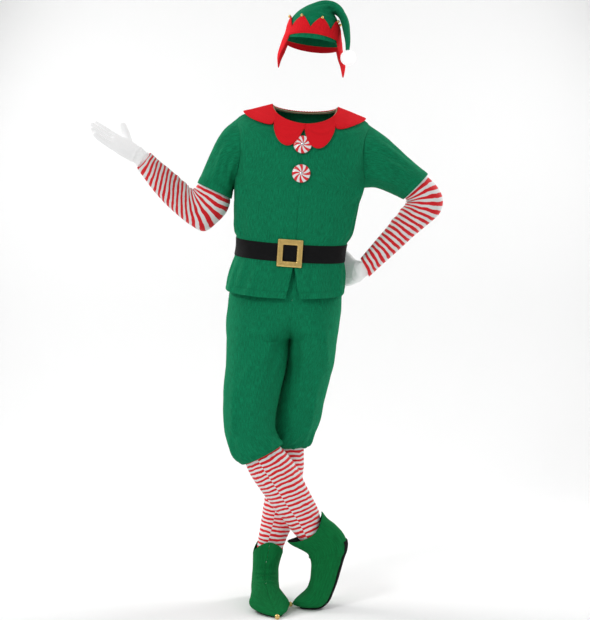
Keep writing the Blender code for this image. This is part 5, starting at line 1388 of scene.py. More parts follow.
def build_breeches():
    for name, leg, hips, folds in (
            ("right", LEG_RIGHT, HIPS_RIGHT, BREECHES_RIGHT_FOLDS + BREECHES_CREASES_RIGHT),
            ("left", LEG_LEFT, HIPS_LEFT, BREECHES_LEFT_FOLDS + BREECHES_CREASES_LEFT)):
        surface = BreechesSurface(leg, hips, folds)
        low = places_along(surface, 0.5, 0.0, float(CROTCH_PLACE), extra=(HEM_DEPTH,), both=False)
        high = np.linspace(CROTCH_PLACE, 11.0, 56)[1:]
        spread = np.linspace(-1.0, 1.0, BREECHES_COLUMNS + 1)
        near = 1.0 - edge_spread(0.22, 0.22 / 40.0)[:4] / 0.22
        spread = np.unique(np.concatenate([spread, near, -near]))
        leg_piece = breeches_part(surface, low, spread, pi * np.ones(len(low)))
        reach = pi - surface.turn_for(SEAM_GAP / 6.0, np.full(len(high), 0.95 * pi), high)
        hip_piece = breeches_part(surface, high, spread, reach)
        points = np.concatenate([leg_piece[0], hip_piece[0]])
        turn, place = np.concatenate([leg_piece[1], hip_piece[1]]), np.concatenate([leg_piece[2], hip_piece[2]])
        normals = surface.normal(turn, place)
        sizes = cloth_sizes(surface, turn, place)
        mesh = grid_mesh("breeches_" + name, points, sizes, False, normals)
        piece = new_object("breeches_" + name, mesh, material("tunic fleece"))
        weld(mesh, 0.00002)
        thicken(piece, FLEECE)
        place_piece(piece, ["breeches_" + name])
        declare(piece)
        hem = np.interp(HEM_DEPTH, *walk_up(surface, 0.5))
        line = surface.point(np.linspace(-pi, pi, 160), np.full(160, hem), 0.0002)
        stitch_line("knee_hem_stitches_" + name, [line], "green thread")


def breeches_part(surface, places, spread, reach):
    turn = reach[:, None] * spread[None, :]
    place = np.repeat(places[:, None], len(spread), 1)
    from_hem = (place - places[0]) * 0.055 if places[0] == 0.0 else np.full(place.shape, 0.4)
    seam_near = (pi - np.abs(turn)) * 0.10
    gathers = 0.0016 * np.sin(turn * 23.0 + 2.0 * np.sin(turn * 4.0)) * bump_at(from_hem, 0.026, 0.018)
    lift = (rolled_edge(seam_near, 0.0014) * ease(8.2, 9.6, place) + hem_relief(from_hem)
            + rolled_edge(from_hem, 0.0009) + gathers
            + cloth_waves(surface, turn, place, 41, 1.3) * ease(0.0, 0.2, pi - np.abs(turn)))
    return surface.point(turn, place, lift), turn, place


def weld(mesh, distance):
    bm = bmesh.new()
    bm.from_mesh(mesh)
    bmesh.ops.remove_doubles(bm, verts=bm.verts, dist=distance)
    bm.to_mesh(mesh)
    bm.free()


# Striped sleeves and stockings
ARM_RIGHT = [
    TubeRing(-0.297, 1.292, -0.226, 1.236, 0.002, 0.046, 0),
    TubeRing(-0.313, 1.268, -0.226, 1.222, 0.000, 0.047, 0),
    TubeRing(-0.323, 1.254, -0.224, 1.204, -0.001, 0.048, 0),
    TubeRing(-0.330, 1.245, -0.234, 1.176, -0.004, 0.048, 0),
    TubeRing(-0.335, 1.242, -0.256, 1.150, -0.008, 0.048, 0),
    TubeRing(-0.341, 1.243, -0.300, 1.118, -0.014, 0.047, 0),
    TubeRing(-0.352, 1.254, -0.344, 1.138, -0.024, 0.047, 0),
    TubeRing(-0.372, 1.275, -0.380, 1.168, -0.044, 0.045, 0),
    TubeRing(-0.398, 1.300, -0.415, 1.202, -0.070, 0.043, 0),
    TubeRing(-0.423, 1.321, -0.446, 1.240, -0.094, 0.039, 6),
    TubeRing(-0.437, 1.334, -0.470, 1.275, -0.112, 0.034, 12),
    TubeRing(-0.449, 1.345, -0.489, 1.303, -0.125, 0.030, 18),
]
ARM_LEFT = [
    TubeRing(0.340, 1.306, 0.289, 1.232, 0.052, 0.045, 0),
    TubeRing(0.367, 1.284, 0.303, 1.218, 0.060, 0.046, 0),
    TubeRing(0.397, 1.258, 0.309, 1.212, 0.069, 0.047, 0),
    TubeRing(0.416, 1.228, 0.311, 1.208, 0.076, 0.047, 0),
    TubeRing(0.420, 1.198, 0.310, 1.203, 0.080, 0.047, 0),
    TubeRing(0.408, 1.168, 0.305, 1.197, 0.078, 0.047, 0),
    TubeRing(0.382, 1.144, 0.296, 1.186, 0.070, 0.046, 0),
    TubeRing(0.323, 1.097, 0.259, 1.142, 0.050, 0.042, 0),
    TubeRing(0.260, 1.040, 0.213, 1.090, 0.030, 0.036, 0),
    TubeRing(0.193, 0.981, 0.166, 1.036, 0.010, 0.031, 0),
]
STOCKING_RIGHT = [
    TubeRing(-0.189, 0.452, -0.088, 0.508, -0.055, 0.050, 0),
    TubeRing(-0.178, 0.424, -0.077, 0.481, -0.056, 0.052, 0),
    TubeRing(-0.163, 0.391, -0.045, 0.445, -0.056, 0.055, 0),
    TubeRing(-0.137, 0.352, -0.018, 0.405, -0.056, 0.055, 0),
    TubeRing(-0.115, 0.322, 0.002, 0.362, -0.055, 0.053, 0),
    TubeRing(-0.087, 0.282, 0.025, 0.318, -0.052, 0.050, 0),
    TubeRing(-0.061, 0.251, 0.040, 0.286, -0.049, 0.047, 0),
    TubeRing(-0.037, 0.219, 0.047, 0.250, -0.046, 0.043, 0),
    TubeRing(-0.016, 0.194, 0.050, 0.222, -0.046, 0.037, 0),
    TubeRing(0.002, 0.172, 0.060, 0.198, -0.047, 0.031, 0),
]
STOCKING_LEFT = [
    TubeRing(-0.007, 0.492, -0.104, 0.494, 0.058, 0.048, 0),
    TubeRing(-0.003, 0.455, -0.108, 0.456, 0.060, 0.050, 0),
    TubeRing(-0.004, 0.390, -0.110, 0.390, 0.060, 0.053, 0),
    TubeRing(-0.018, 0.325, -0.118, 0.329, 0.057, 0.051, 0),
    TubeRing(-0.027, 0.270, -0.127, 0.277, 0.046, 0.048, 0),
    TubeRing(-0.036, 0.229, -0.133, 0.240, 0.024, 0.045, 0),
    TubeRing(-0.053, 0.194, -0.139, 0.203, 0.006, 0.040, 0),
    TubeRing(-0.070, 0.153, -0.144, 0.163, -0.001, 0.036, 0),
    TubeRing(-0.082, 0.126, -0.146, 0.132, -0.004, 0.032, 0),
]
ELBOW_FOLDS_RIGHT = [Fold(-80, 3.2, 60, 3.2, 0.22, 0.004), Fold(-60, 5.1, 70, 5.1, 0.25, 0.004),
                     Fold(-70, 6.3, 70, 6.3, 0.25, 0.003)]
ELBOW_FOLDS_LEFT = [Fold(120, 2.6, 240, 2.6, 0.22, 0.004), Fold(110, 4.4, 250, 4.4, 0.25, 0.004),
                    Fold(110, 6.1, 240, 6.1, 0.25, 0.003)]
ARM_CREASES_RIGHT = [Fold(-90, 3.9, 40, 3.9, 0.12, 0.0039), Fold(-70, 4.6, 60, 4.6, 0.12, 0.0039),
                     Fold(-60, 5.8, 70, 5.8, 0.12, 0.0036), Fold(-60, 7.2, 50, 7.2, 0.14, 0.0024),
                     Fold(150, 1.2, 260, 1.2, 0.16, 0.0024)]
ARM_CREASES_LEFT = [Fold(120, 3.3, 240, 3.3, 0.12, 0.0039), Fold(115, 5.2, 245, 5.2, 0.12, 0.0039),
                    Fold(110, 6.8, 230, 6.8, 0.14, 0.0030), Fold(60, 1.4, 160, 1.4, 0.16, 0.0027)]
STOCKING_CREASES_RIGHT = [Fold(30, 8.35, 150, 8.35, 0.16, 0.0034), Fold(40, 7.8, 160, 7.8, 0.14, 0.0026),
                          Fold(10, 7.2, 120, 7.2, 0.16, 0.0020), Fold(190, 8.2, 330, 8.2, 0.18, 0.0026)]
STOCKING_CREASES_LEFT = [Fold(20, 6.9, 150, 6.9, 0.14, 0.0024), Fold(30, 6.3, 160, 6.3, 0.14, 0.0016),
                         Fold(190, 6.8, 330, 6.8, 0.16, 0.0022)]
KNIT_COLUMNS = 100


def build_knit_tube(name, rings, folds, stripes, jog_turn, jog):
    """Striped tube; its seam lies along jog_turn, where the stripes step by jog."""
    surface = TubeSurface(rings, folds)
    turns = jog_turn + np.linspace(0.0, 2.0 * pi, KNIT_COLUMNS + 1)
    places = places_along(surface, pi / 2.0, 0.0, float(len(rings) - 1), step=0.0042)
    turn, place = np.meshgrid(turns, places)
    from_ends = np.minimum(end_distance(surface, turn, place, 0), end_distance(surface, turn, place, 1))
    seam = np.minimum(turn - jog_turn, jog_turn + 2.0 * pi - turn) * 0.048
    lift = (rolled_edge(from_ends, 0.0007, 0.0016) + rolled_edge(seam, 0.0007, 0.0018)
            + cloth_waves(surface, turn, place, 57, 0.8) * ease(0.0, 0.012, from_ends))
    across, along = cloth_sizes(surface, turn, place)
    share = (turn - jog_turn) / (2.0 * pi)
    along = along + jog * share
    piece = cloth(name, surface, turn, place, KNIT, [material(stripes)], lift, closed=True,
                  sizes=(across, along))
    declare(piece)


def build_arm_tubes():
    build_knit_tube("striped_sleeve_right", ARM_RIGHT, ELBOW_FOLDS_RIGHT + ARM_CREASES_RIGHT,
                    "sleeve stripes", radians(250.0), 0.004)
    build_knit_tube("striped_sleeve_left", ARM_LEFT, ELBOW_FOLDS_LEFT + ARM_CREASES_LEFT,
                    "sleeve stripes", radians(250.0), 0.004)


def build_leg_tubes():
    build_knit_tube("stocking_right", STOCKING_RIGHT, STOCKING_CREASES_RIGHT, "stocking stripes",
                    radians(75.0), 0.007)
    build_knit_tube("stocking_left", STOCKING_LEFT, STOCKING_CREASES_LEFT, "stocking stripes",
                    radians(105.0), 0.006)


# Hat
CROWN = [
    TubeRing(-0.063, 1.690, 0.106, 1.668, 0.000, 0.0985, 0),
    TubeRing(-0.0545, 1.713, 0.1035, 1.692, 0.000, 0.0980, 0),
    TubeRing(-0.048, 1.735, 0.101, 1.716, 0.000, 0.0940, 0),
    TubeRing(-0.036, 1.755, 0.098, 1.734, 0.000, 0.0850, 0),
    TubeRing(-0.017, 1.773, 0.094, 1.746, -0.001, 0.0730, 0),
    TubeRing(0.009, 1.788, 0.090, 1.753, -0.003, 0.0590, 0),
    TubeRing(0.037, 1.797, 0.087, 1.757, -0.005, 0.0480, 0),
    TubeRing(0.064, 1.799, 0.086, 1.759, -0.008, 0.0410, 0),
    TubeRing(0.089, 1.791, 0.089, 1.759, -0.014, 0.0370, 0),
    TubeRing(0.108, 1.775, 0.095, 1.755, -0.020, 0.0340, 0),
    TubeRing(0.122, 1.753, 0.1025, 1.743, -0.028, 0.0310, 0),
    TubeRing(0.130, 1.727, 0.108, 1.723, -0.038, 0.0270, 0),
    TubeRing(0.133, 1.700, 0.113, 1.699, -0.048, 0.0220, 0),
    TubeRing(0.133, 1.677, 0.117, 1.677, -0.058, 0.0160, 0),
    TubeRing(0.130, 1.656, 0.118, 1.656, -0.065, 0.0090, 0),
]
CROWN_FOLDS = [Fold(20, 3.4, 165, 3.4, 0.35, 0.005), Fold(80, 3.6, 95, 7.6, 14, 0.006),
               Fold(-20, 3.6, -160, 3.6, 0.4, 0.005), Fold(250, 3.4, 265, 7.4, 16, 0.006),
               Fold(60, 8.4, 75, 12.4, 22, 0.003), Fold(-50, 8.4, -60, 12.4, 22, 0.003)]
BAND = [
    TubeRing(-0.080, 1.598, 0.112, 1.568, 0.000, 0.103, 0),
    TubeRing(-0.082, 1.634, 0.119, 1.606, 0.000, 0.105, 0),
    TubeRing(-0.078, 1.660, 0.117, 1.634, 0.000, 0.106, 0),
    TubeRing(-0.070, 1.685, 0.113, 1.661, 0.000, 0.105, 0),
    TubeRing(-0.0610, 1.708, 0.1095, 1.687, 0.000, 0.1035, 0),
    TubeRing(-0.0540, 1.732, 0.1070, 1.712, 0.000, 0.1010, 0),
    TubeRing(-0.0440, 1.753, 0.1035, 1.734, 0.000, 0.0930, 0),
]
BAND_POINTS = 8
BAND_FIRST_POINT = 15.0      # degrees round from the wearer's right
BAND_SNUG = 0.0014           # how far the band is drawn in on the crown
BAND_VALLEY, BAND_TIP = 4.55, 6.0
FLAP_HALF = 36.0
FLAP_DROP = 2.95
POMPOM_CORE, POMPOM_REACH = 0.0130, 0.0215
CROWN_CREASES = [Fold(70, 2.2, 150, 2.2, 0.4, 0.0042), Fold(60, 5.0, 78, 8.5, 8, -0.0039),
                 Fold(120, 4.6, 128, 8.0, 9, 0.0042), Fold(90, 8.6, 80, 12.6, 12, 0.0031),
                 Fold(30, 5.6, 38, 9.6, 9, 0.0034), Fold(-80, 4.4, -70, 8.6, 10, 0.0042),
                 Fold(-120, 5.2, -128, 9.8, 10, 0.0039), Fold(-30, 5.2, -24, 8.8, 9, 0.0034)]
HAT_COLUMNS, HAT_STEP = 120, 0.0032
TAIL_DROP = 0.009            # how far the yarn and the tail's end hang below the solids
POMPOM_VISIBLE = 0.0200
BAND_COLUMNS_FINE = 288
BAND_TIP_ARCH = 1.45


def band_low(turn):
    """Place of the band's lower edge: high over the brow, with a rounded flap on each side."""
    degrees = np.degrees(turn) % 360.0
    edge = 3.15 + 0.65 * np.sin(turn)
    for side in (0.0, 180.0):
        away = np.minimum(np.abs((degrees - side + 180.0) % 360.0 - 180.0) / FLAP_HALF, 1.0)
        edge = edge - FLAP_DROP * (1.0 - away ** 2) ** 0.6
    return edge


def band_top(turn):
    """Place of the band's zigzag upper edge."""
    spacing = 360.0 / BAND_POINTS
    away = np.abs((np.degrees(turn) - BAND_FIRST_POINT + spacing / 2.0) % spacing - spacing / 2.0)
    return BAND_TIP - (BAND_TIP - BAND_VALLEY) * (away / (spacing / 2.0)) ** BAND_TIP_ARCH


def build_crown():
    surface = TubeSurface(CROWN, CROWN_FOLDS + CROWN_CREASES)
    turns = np.linspace(0.0, 2.0 * pi, HAT_COLUMNS + 1) + pi / 2.0
    places = places_along(surface, pi / 2.0, 0.0, 14.0, step=HAT_STEP)
    turn, place = np.meshgrid(turns, places)
    seam = np.minimum(turn - turns[0], turns[-1] - turn) * np.interp(place, (0.0, 4.0, 14.0), (0.09, 0.07, 0.01))
    lift = rolled_edge(seam, 0.0010, 0.0018) + cloth_waves(surface, turn, place, 71) * ease(0.0, 3.0, place)
    lift = lift * np.interp(place, (10.0, 14.0), (1.0, 0.4))
    points = surface.point(turn, place, lift)
    points[..., 2] -= TAIL_DROP * ease(10.5, 14.0, place)
    sizes = cloth_sizes(surface, turn, place)
    mesh = grid_mesh("hat_crown", points, sizes, True, surface.normal(turn, place))
    bm = bmesh.new()
    bm.from_mesh(mesh)
    bm.verts.ensure_lookup_table()
    last = bm.verts[-HAT_COLUMNS:]
    tip = bm.verts.new(sum((vertex.co for vertex in last), Vector()) / HAT_COLUMNS)
    for here, there in zip(last, last[1:] + last[:1]):
        bm.faces.new((here, there, tip))
    bmesh.ops.recalc_face_normals(bm, faces=bm.faces)
    bm.to_mesh(mesh)
    bm.free()
    piece = new_object("hat_crown", mesh, material("hat fleece"))
    if outward_share(mesh) < 0.5:
        mesh.flip_normals()
    thicken(piece, FLEECE)
    place_piece(piece, ["hat_crown"])
    declare(piece)


def outward_share(mesh):
    """Share of an open shell's faces that look away from its middle."""
    middle = np.mean([vertex.co[:] for vertex in mesh.vertices], 0)
    away = [float(np.dot(np.array(face.center) - middle, face.normal)) > 0.0 for face in mesh.polygons]
    return sum(away) / max(1, len(away))


def build_band():
    surface = TubeSurface(BAND)
    turns = np.linspace(0.0, 2.0 * pi, BAND_COLUMNS_FINE + 1)
    shares = spread_shares(0.10, 0.0034)
    turn = np.repeat(turns[None, :], len(shares), 0)
    low, high = band_low(turns)[None, :], band_top(turns)[None, :]
    place = low + (high - low) * shares[:, None]
    from_low, from_top = end_distance(surface, turn, place, 0), end_distance(surface, turn, place, 1)
    flap = np.maximum(bump_at(np.cos(turn), 1.0, 0.2), bump_at(np.cos(turn), -1.0, 0.2))
    outward = 0.0024 * flap * (1.0 - ease(0.4, 2.6, place))
    points_off = 0.0014 * ease(BAND_VALLEY - 0.4, BAND_TIP, place)
    lift = (-BAND_SNUG + outward + points_off + rolled_edge(np.minimum(from_low, from_top), 0.0006, 0.0016)
            + 0.0009 * unevenness(surface.base(turn, place), 0.035, 83))
    piece = cloth("hat_band", surface, turn, place, FELT, [material("collar felt")], lift,
                  closed=True)
    declare(piece)
    lines = []
    for edge, inset in ((band_low, 0.11), (band_top, -0.13)):
        lines.append(surface.point(turns, edge(turns) + inset, -BAND_SNUG + 0.0012))
    stitch_line("band_edge_stitches", lines, "red thread", 0.0036, 0.0024, 0.0006)


def build_bells():
    names = ["hat_bell_%d" % number for number in range(1, BAND_POINTS + 1)]
    for name in names + ["shoe_left_bell", "shoe_right_bell"]:
        low, high = [np.array(corner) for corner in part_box(name)]
        build_bell(name, (low + high) / 2.0, (high - low).max() / 2.0)


def build_bell(name, middle, radius):
    """Jingle bell: two stamped halves with a ridge where they meet, cross slots below, loop above."""
    segments, rings = (48, 32) if radius > 0.006 else (32, 22)
    bm = bmesh.new()
    bmesh.ops.create_uvsphere(bm, u_segments=segments, v_segments=rings, radius=radius)
    for vertex in bm.verts:
        x, y, z = vertex.co / radius
        ridge = 0.035 * float(np.exp(-(z / 0.07) ** 2))
        near_slot = min(abs(x), abs(y))
        slot = 0.16 * float(np.exp(-(near_slot / 0.07) ** 2)) * (1.0 if z < -0.25 else 0.0)
        hole = 0.10 * sum(float(np.exp(-((x - a) ** 2 + (y - b) ** 2) / 0.012)) for a, b in
                          ((0.62, 0.0), (-0.62, 0.0), (0.0, 0.62), (0.0, -0.62))) * (1.0 if z < 0.0 else 0.0)
        vertex.co *= 0.985 + ridge - slot - hole
    loop = bmesh.ops.create_uvsphere(bm, u_segments=10, v_segments=6, radius=radius * 0.16)["verts"]
    bmesh.ops.translate(bm, verts=loop, vec=(0.0, 0.0, radius * 0.97))
    bm.transform(Matrix.Translation(middle) @ Matrix.Rotation(0.4, 4, "Z"))
    mesh = bpy.data.meshes.new(name)
    bm.to_mesh(mesh)
    bm.free()
    mesh.shade_smooth()
    piece = new_object(name + "_shell", mesh, material("bell brass"))
    place_piece(piece, [name])


def build_pompom(density, seed):
    low, high = [np.array(corner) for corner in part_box("hat_pompom")]
    middle, reach = (low + high) / 2.0 - np.array((0.0, 0.0, TAIL_DROP)), POMPOM_VISIBLE
    bm = bmesh.new()
    bmesh.ops.create_icosphere(bm, subdivisions=4, radius=reach - YARN_LENGTH / 2.0 - 0.0012)
    bm.transform(Matrix.Translation(middle))
    mesh = bpy.data.meshes.new("hat_pompom_core")
    bm.to_mesh(mesh)
    bm.free()
    piece = new_object("hat_pompom_yarn", mesh)
    run_tree(piece, yarn_tree(), {"Density": density, "Seed": seed, "Yarn": material("pompom yarn")})
    place_piece(piece, ["hat_pompom"])


# Gloves
Finger = namedtuple("Finger", "length spread curl half_width")
FINGERS_ON_HIP = [Finger(0.055, -5, 17, 0.0088), Finger(0.071, -2, 17, 0.0095), Finger(0.078, 1, 17, 0.0098),
                  Finger(0.071, 4, 17, 0.0095)]
CLOSE_FINGERS = [Finger(0.058, -3, 6, 0.0094), Finger(0.071, -1, 4, 0.0102), Finger(0.078, 1, 3, 0.0104),
                 Finger(0.071, 3, 2, 0.0100)]
PalmRow = namedtuple("PalmRow", "along half_across half_thick")
PALM = [PalmRow(0.000, 0.024, 0.020), PalmRow(0.036, 0.038, 0.019), PalmRow(0.070, 0.043, 0.016),
        PalmRow(0.096, 0.042, 0.013)]
FINGER_HALF_THICK = 0.0098
THUMB_HALF, THUMB_LENGTH, THUMB_AHEAD, THUMB_CURL = 0.0115, 0.062, 0.72, 5.0
FINGER_LENGTHS = [(0.12, 1.0, 0.5), (0.36, 0.97, 0.9), (0.30, 0.92, 1.0), (0.22, 0.74, 1.0)]
CUFF_HALF = (0.0225, 0.0215)
CUFF_INSIDE, CUFF_OUTSIDE = 0.040, 0.014




def build_glove(name, sleeve_rings, along, across, fingers, thumb_out, thumb_raise, turn):
    """Glove whose cuff lies inside a sleeve; along runs to the fingertips, across to the thumb."""
    sleeve = TubeSurface(sleeve_rings)
    last = float(len(sleeve_rings) - 1)
    end, before = [Vector(sleeve.centre(np.array(place))) for place in (last, last - 1.0)]
    back = (before - end).normalized()
    cuff, wrist = end + back * CUFF_INSIDE, end - back * CUFF_OUTSIDE
    along = along.normalized()
    across = (across - along * across.dot(along)).normalized()
    palm_side = across.cross(along) * turn
    cuff_along = (wrist - cuff).normalized()
    cuff_across = (across - cuff_along * across.dot(cuff_along)).normalized()
    cuff_palm = (palm_side - cuff_along * palm_side.dot(cuff_along)
                 - cuff_across * palm_side.dot(cuff_across)).normalized()
    bm = bmesh.new()
    rings = [palm_ring(bm, cuff, cuff_across, cuff_palm, *CUFF_HALF),
             palm_ring(bm, cuff.lerp(wrist, 0.6), cuff_across, cuff_palm, *CUFF_HALF)]
    for row in PALM:
        rings.append(palm_ring(bm, wrist + along * row.along, across, palm_side, row.half_across, row.half_thick))
    thumb_base = None
    for here, there in zip(rings, rings[1:]):
        for corner in range(10):
            face = bm.faces.new((here[corner], here[(corner + 1) % 10], there[(corner + 1) % 10], there[corner]))
            if corner == 4 and here is rings[3]:
                thumb_base = face
    top = rings[-1]
    for number, finger in enumerate(fingers):
        base = bm.faces.new((top[number], top[number + 1], top[8 - number], top[9 - number]))
        spread = radians(finger.spread)
        way = along * cos(spread) + across * sin(spread)
        grow_finger(bm, base, way, palm_side, finger.length, radians(finger.curl), (across, palm_side),
                    (finger.half_width, FINGER_HALF_THICK))
    thumb_way = along * THUMB_AHEAD + across * thumb_out + palm_side * thumb_raise
    grow_finger(bm, thumb_base, thumb_way.normalized(), along, THUMB_LENGTH, radians(THUMB_CURL), None,
                (THUMB_HALF, THUMB_HALF))
    rims = [edge for edge in bm.edges if edge.is_boundary]
    lid = bmesh.ops.contextual_create(bm, geom=rims)["faces"]
    bmesh.ops.recalc_face_normals(bm, faces=bm.faces)
    if bm.calc_volume(signed=True) < 0.0:
        bmesh.ops.reverse_faces(bm, faces=bm.faces)
    bmesh.ops.delete(bm, geom=lid, context="FACES_ONLY")
    bmesh.ops.translate(bm, verts=bm.verts, vec=(0.0, 0.0, -SHOULDER_HEIGHT))
    mesh = bpy.data.meshes.new(name)
    bm.to_mesh(mesh)
    bm.free()
    glove = new_object(name, mesh, material("glove jersey"))
    rounding = glove.modifiers.new("rounding", "SUBSURF")
    rounding.levels = rounding.render_levels = 4
    plain_mesh(glove)
    wrinkle_glove(glove.data, wrist + Vector((0.0, 0.0, -SHOULDER_HEIGHT)), along, across, palm_side)
    thicken(glove, GLOVE_CLOTH)
    place_piece(glove, [name])
    area = sum(face.area for face in glove.data.polygons) / 2.0


GLOVE_GATHERS = (-0.020, -0.007, 0.006, 0.018)   # distances from the wrist of the soft gathers
GLOVE_LINES = (-0.018, 0.0, 0.018)               # the three sewn lines on the back, across the hand


def wrinkle_glove(mesh, wrist, along, across, palm_side):
    """Gathers round the wrist, slack waves over the hand and three sewn lines on its back."""
    points = np.array([vertex.co[:] for vertex in mesh.vertices])
    normals = np.array([normal.vector[:] for normal in mesh.vertex_normals])
    local = points - np.array(wrist)
    up, side, palm = local @ np.array(along), local @ np.array(across), local @ np.array(palm_side)
    height = 0.0007 * unevenness(points, 0.022, 91) + 0.0004 * unevenness(points, 0.009, 92)
    sway = 0.004 * np.sin(side * 90.0)
    for number, at in enumerate(GLOVE_GATHERS):
        size = 0.0018 if number % 2 else 0.0013
        height = height + size * bump_at(up, at + sway * (1 - 2 * (number % 2)), 0.0032)
    on_back = ease(0.0, 0.006, -palm) * ease(0.020, 0.030, up) * (1.0 - ease(0.082, 0.092, up))
    for at in GLOVE_LINES:
        height = height + 0.0010 * bump_at(side, at, 0.0011) * on_back
    moved = points + normals * height[:, None]
    mesh.vertices.foreach_set("co", moved.astype(np.float32).ravel())
    mesh.update()


def palm_ring(bm, centre, across, palm_side, half_across, half_thick):
    """Ten points: five on the palm side from the little finger to the thumb, and five back."""
    points = []
    for side in (1.0, -1.0):
        for step in (-1.0, -0.5, 0.0, 0.5, 1.0):
            step *= side
            thick = half_thick * (1.0 - 0.35 * step ** 4)
            points.append(bm.verts.new(centre + across * (half_across * step) + palm_side * (thick * side)))
    return points


def grow_finger(bm, base, way, curl_to, length, curl, frame, half_sizes):
    """Draw a finger out of one face in four lengths, turning from the face's own way into the finger's."""
    face = base
    centre = base.calc_center_median()
    base.normal_update()
    outward = base.normal.copy() if base.normal.dot(way) > 0.0 else -base.normal
    if frame is None:
        corners = list(base.verts)
        side = (corners[1].co - corners[0].co).normalized()
        frame = (side, outward.cross(side))
    for share, thinness, turned in FINGER_LENGTHS:
        face = bmesh.ops.extrude_discrete_faces(bm, faces=[face])["faces"][0]
        signs = [[1.0 if (corner.co - centre).dot(axis) > 0.0 else -1.0 for axis in frame]
                 for corner in face.verts]
        ahead = outward.lerp(way, turned).normalized()
        frame = tuple((axis - ahead * axis.dot(ahead)).normalized() for axis in frame)
        centre = centre + ahead * (length * share)
        for corner, (one, two) in zip(face.verts, signs):
            corner.co = centre + (frame[0] * one * half_sizes[0] + frame[1] * two * half_sizes[1]) * thinness
        way = (way + curl_to * sin(curl)).normalized()


def build_gloves():
    """The right hand is held open to the side; the left rests on the hip with its fingers behind."""
    build_glove("glove_right", ARM_RIGHT, Vector((-0.155, -0.030, 0.090)), Vector((0.20, 0.90, 0.38)),
                CLOSE_FINGERS, thumb_out=0.55, thumb_raise=0.55, turn=1)
    build_glove("glove_left", ARM_LEFT, Vector((-0.60, 0.80, -0.10)), Vector((0.0, 0.0, 1.0)),
                FINGERS_ON_HIP, thumb_out=0.55, thumb_raise=-0.10, turn=-1)


# Shoe covers
SHOE_LEFT = [
    ShoeRing(-0.106, 0.0510, -0.057, 0.188, 0.056, 0.194),
    ShoeRing(-0.110, 0.0470, -0.057, 0.158, 0.054, 0.160),
    ShoeRing(-0.116, 0.0420, -0.058, 0.128, 0.053, 0.122),
    ShoeRing(-0.119, 0.0395, -0.060, 0.108, 0.058, 0.088),
    ShoeRing(-0.120, 0.0400, -0.067, 0.094, 0.064, 0.050),
    ShoeRing(-0.120, 0.0415, -0.075, 0.086, 0.058, 0.014),
    ShoeRing(-0.119, 0.0430, -0.086, 0.079, 0.030, 0.0035),
    ShoeRing(-0.116, 0.0450, -0.100, 0.072, -0.030, 0.0035),
    ShoeRing(-0.111, 0.0520, -0.122, 0.061, -0.086, 0.0035),
    ShoeRing(-0.106, 0.0590, -0.149, 0.048, -0.134, 0.0035),
    ShoeRing(-0.099, 0.0500, -0.175, 0.035, -0.170, 0.0035),
    ShoeRing(-0.091, 0.0340, -0.196, 0.024, -0.195, 0.0035),
    ShoeRing(-0.085, 0.0160, -0.211, 0.016, -0.212, 0.0040),
    ShoeRing(-0.083, 0.0045, -0.219, 0.0125, -0.219, 0.0045),
]
SHOE_RIGHT = [
    TubeRing(-0.053, 0.190, 0.051, 0.280, -0.046, 0.048, 0),
    TubeRing(-0.036, 0.178, 0.068, 0.259, -0.046, 0.047, 0),
    TubeRing(-0.014, 0.167, 0.091, 0.240, -0.047, 0.045, 0),
    TubeRing(0.004, 0.157, 0.112, 0.217, -0.049, 0.041, 0),
    TubeRing(0.012, 0.148, 0.125, 0.192, -0.052, 0.040, 0),
    TubeRing(0.016, 0.138, 0.124, 0.168, -0.055, 0.041, 0),
    TubeRing(0.018, 0.126, 0.115, 0.143, -0.058, 0.042, 0),
    TubeRing(0.018, 0.108, 0.105, 0.110, -0.063, 0.044, 0),
    TubeRing(0.015, 0.080, 0.095, 0.078, -0.070, 0.048, 0),
    TubeRing(0.008, 0.058, 0.083, 0.048, -0.077, 0.053, 0),
    TubeRing(-0.003, 0.045, 0.070, 0.022, -0.083, 0.056, 0),
    TubeRing(-0.013, 0.038, 0.048, 0.0055, -0.088, 0.053, 0),
    TubeRing(-0.020, 0.033, 0.020, 0.0035, -0.093, 0.045, 0),
    TubeRing(-0.027, 0.028, -0.004, 0.0040, -0.097, 0.033, 0),
    TubeRing(-0.032, 0.024, -0.020, 0.0060, -0.100, 0.017, 0),
    TubeRing(-0.037, 0.0175, -0.034, 0.0100, -0.102, 0.0045, 0),
]
SHOE_SQUARE = 2.5
SOLE_THICK = 0.0025
SHOE_CREASES_LEFT = [Fold(-60, 4.6, 70, 4.6, 0.28, 0.0039), Fold(-50, 3.6, 60, 3.6, 0.24, 0.0031),
                     Fold(130, 3.9, 230, 3.9, 0.30, 0.0034), Fold(-40, 6.2, 50, 6.2, 0.30, 0.0029)]
SHOE_CREASES_RIGHT = [Fold(30, 5.1, 150, 5.1, 0.26, 0.0050), Fold(40, 6.3, 150, 6.3, 0.26, 0.0042),
                      Fold(30, 7.3, 140, 7.3, 0.28, 0.0036), Fold(200, 5.4, 320, 5.4, 0.30, 0.0042),
                      Fold(-30, 4.4, 60, 4.4, 0.26, 0.0036)]
SHOE_COLUMNS_FINE = 52
SOLE_HALF_TURN = radians(38.0)


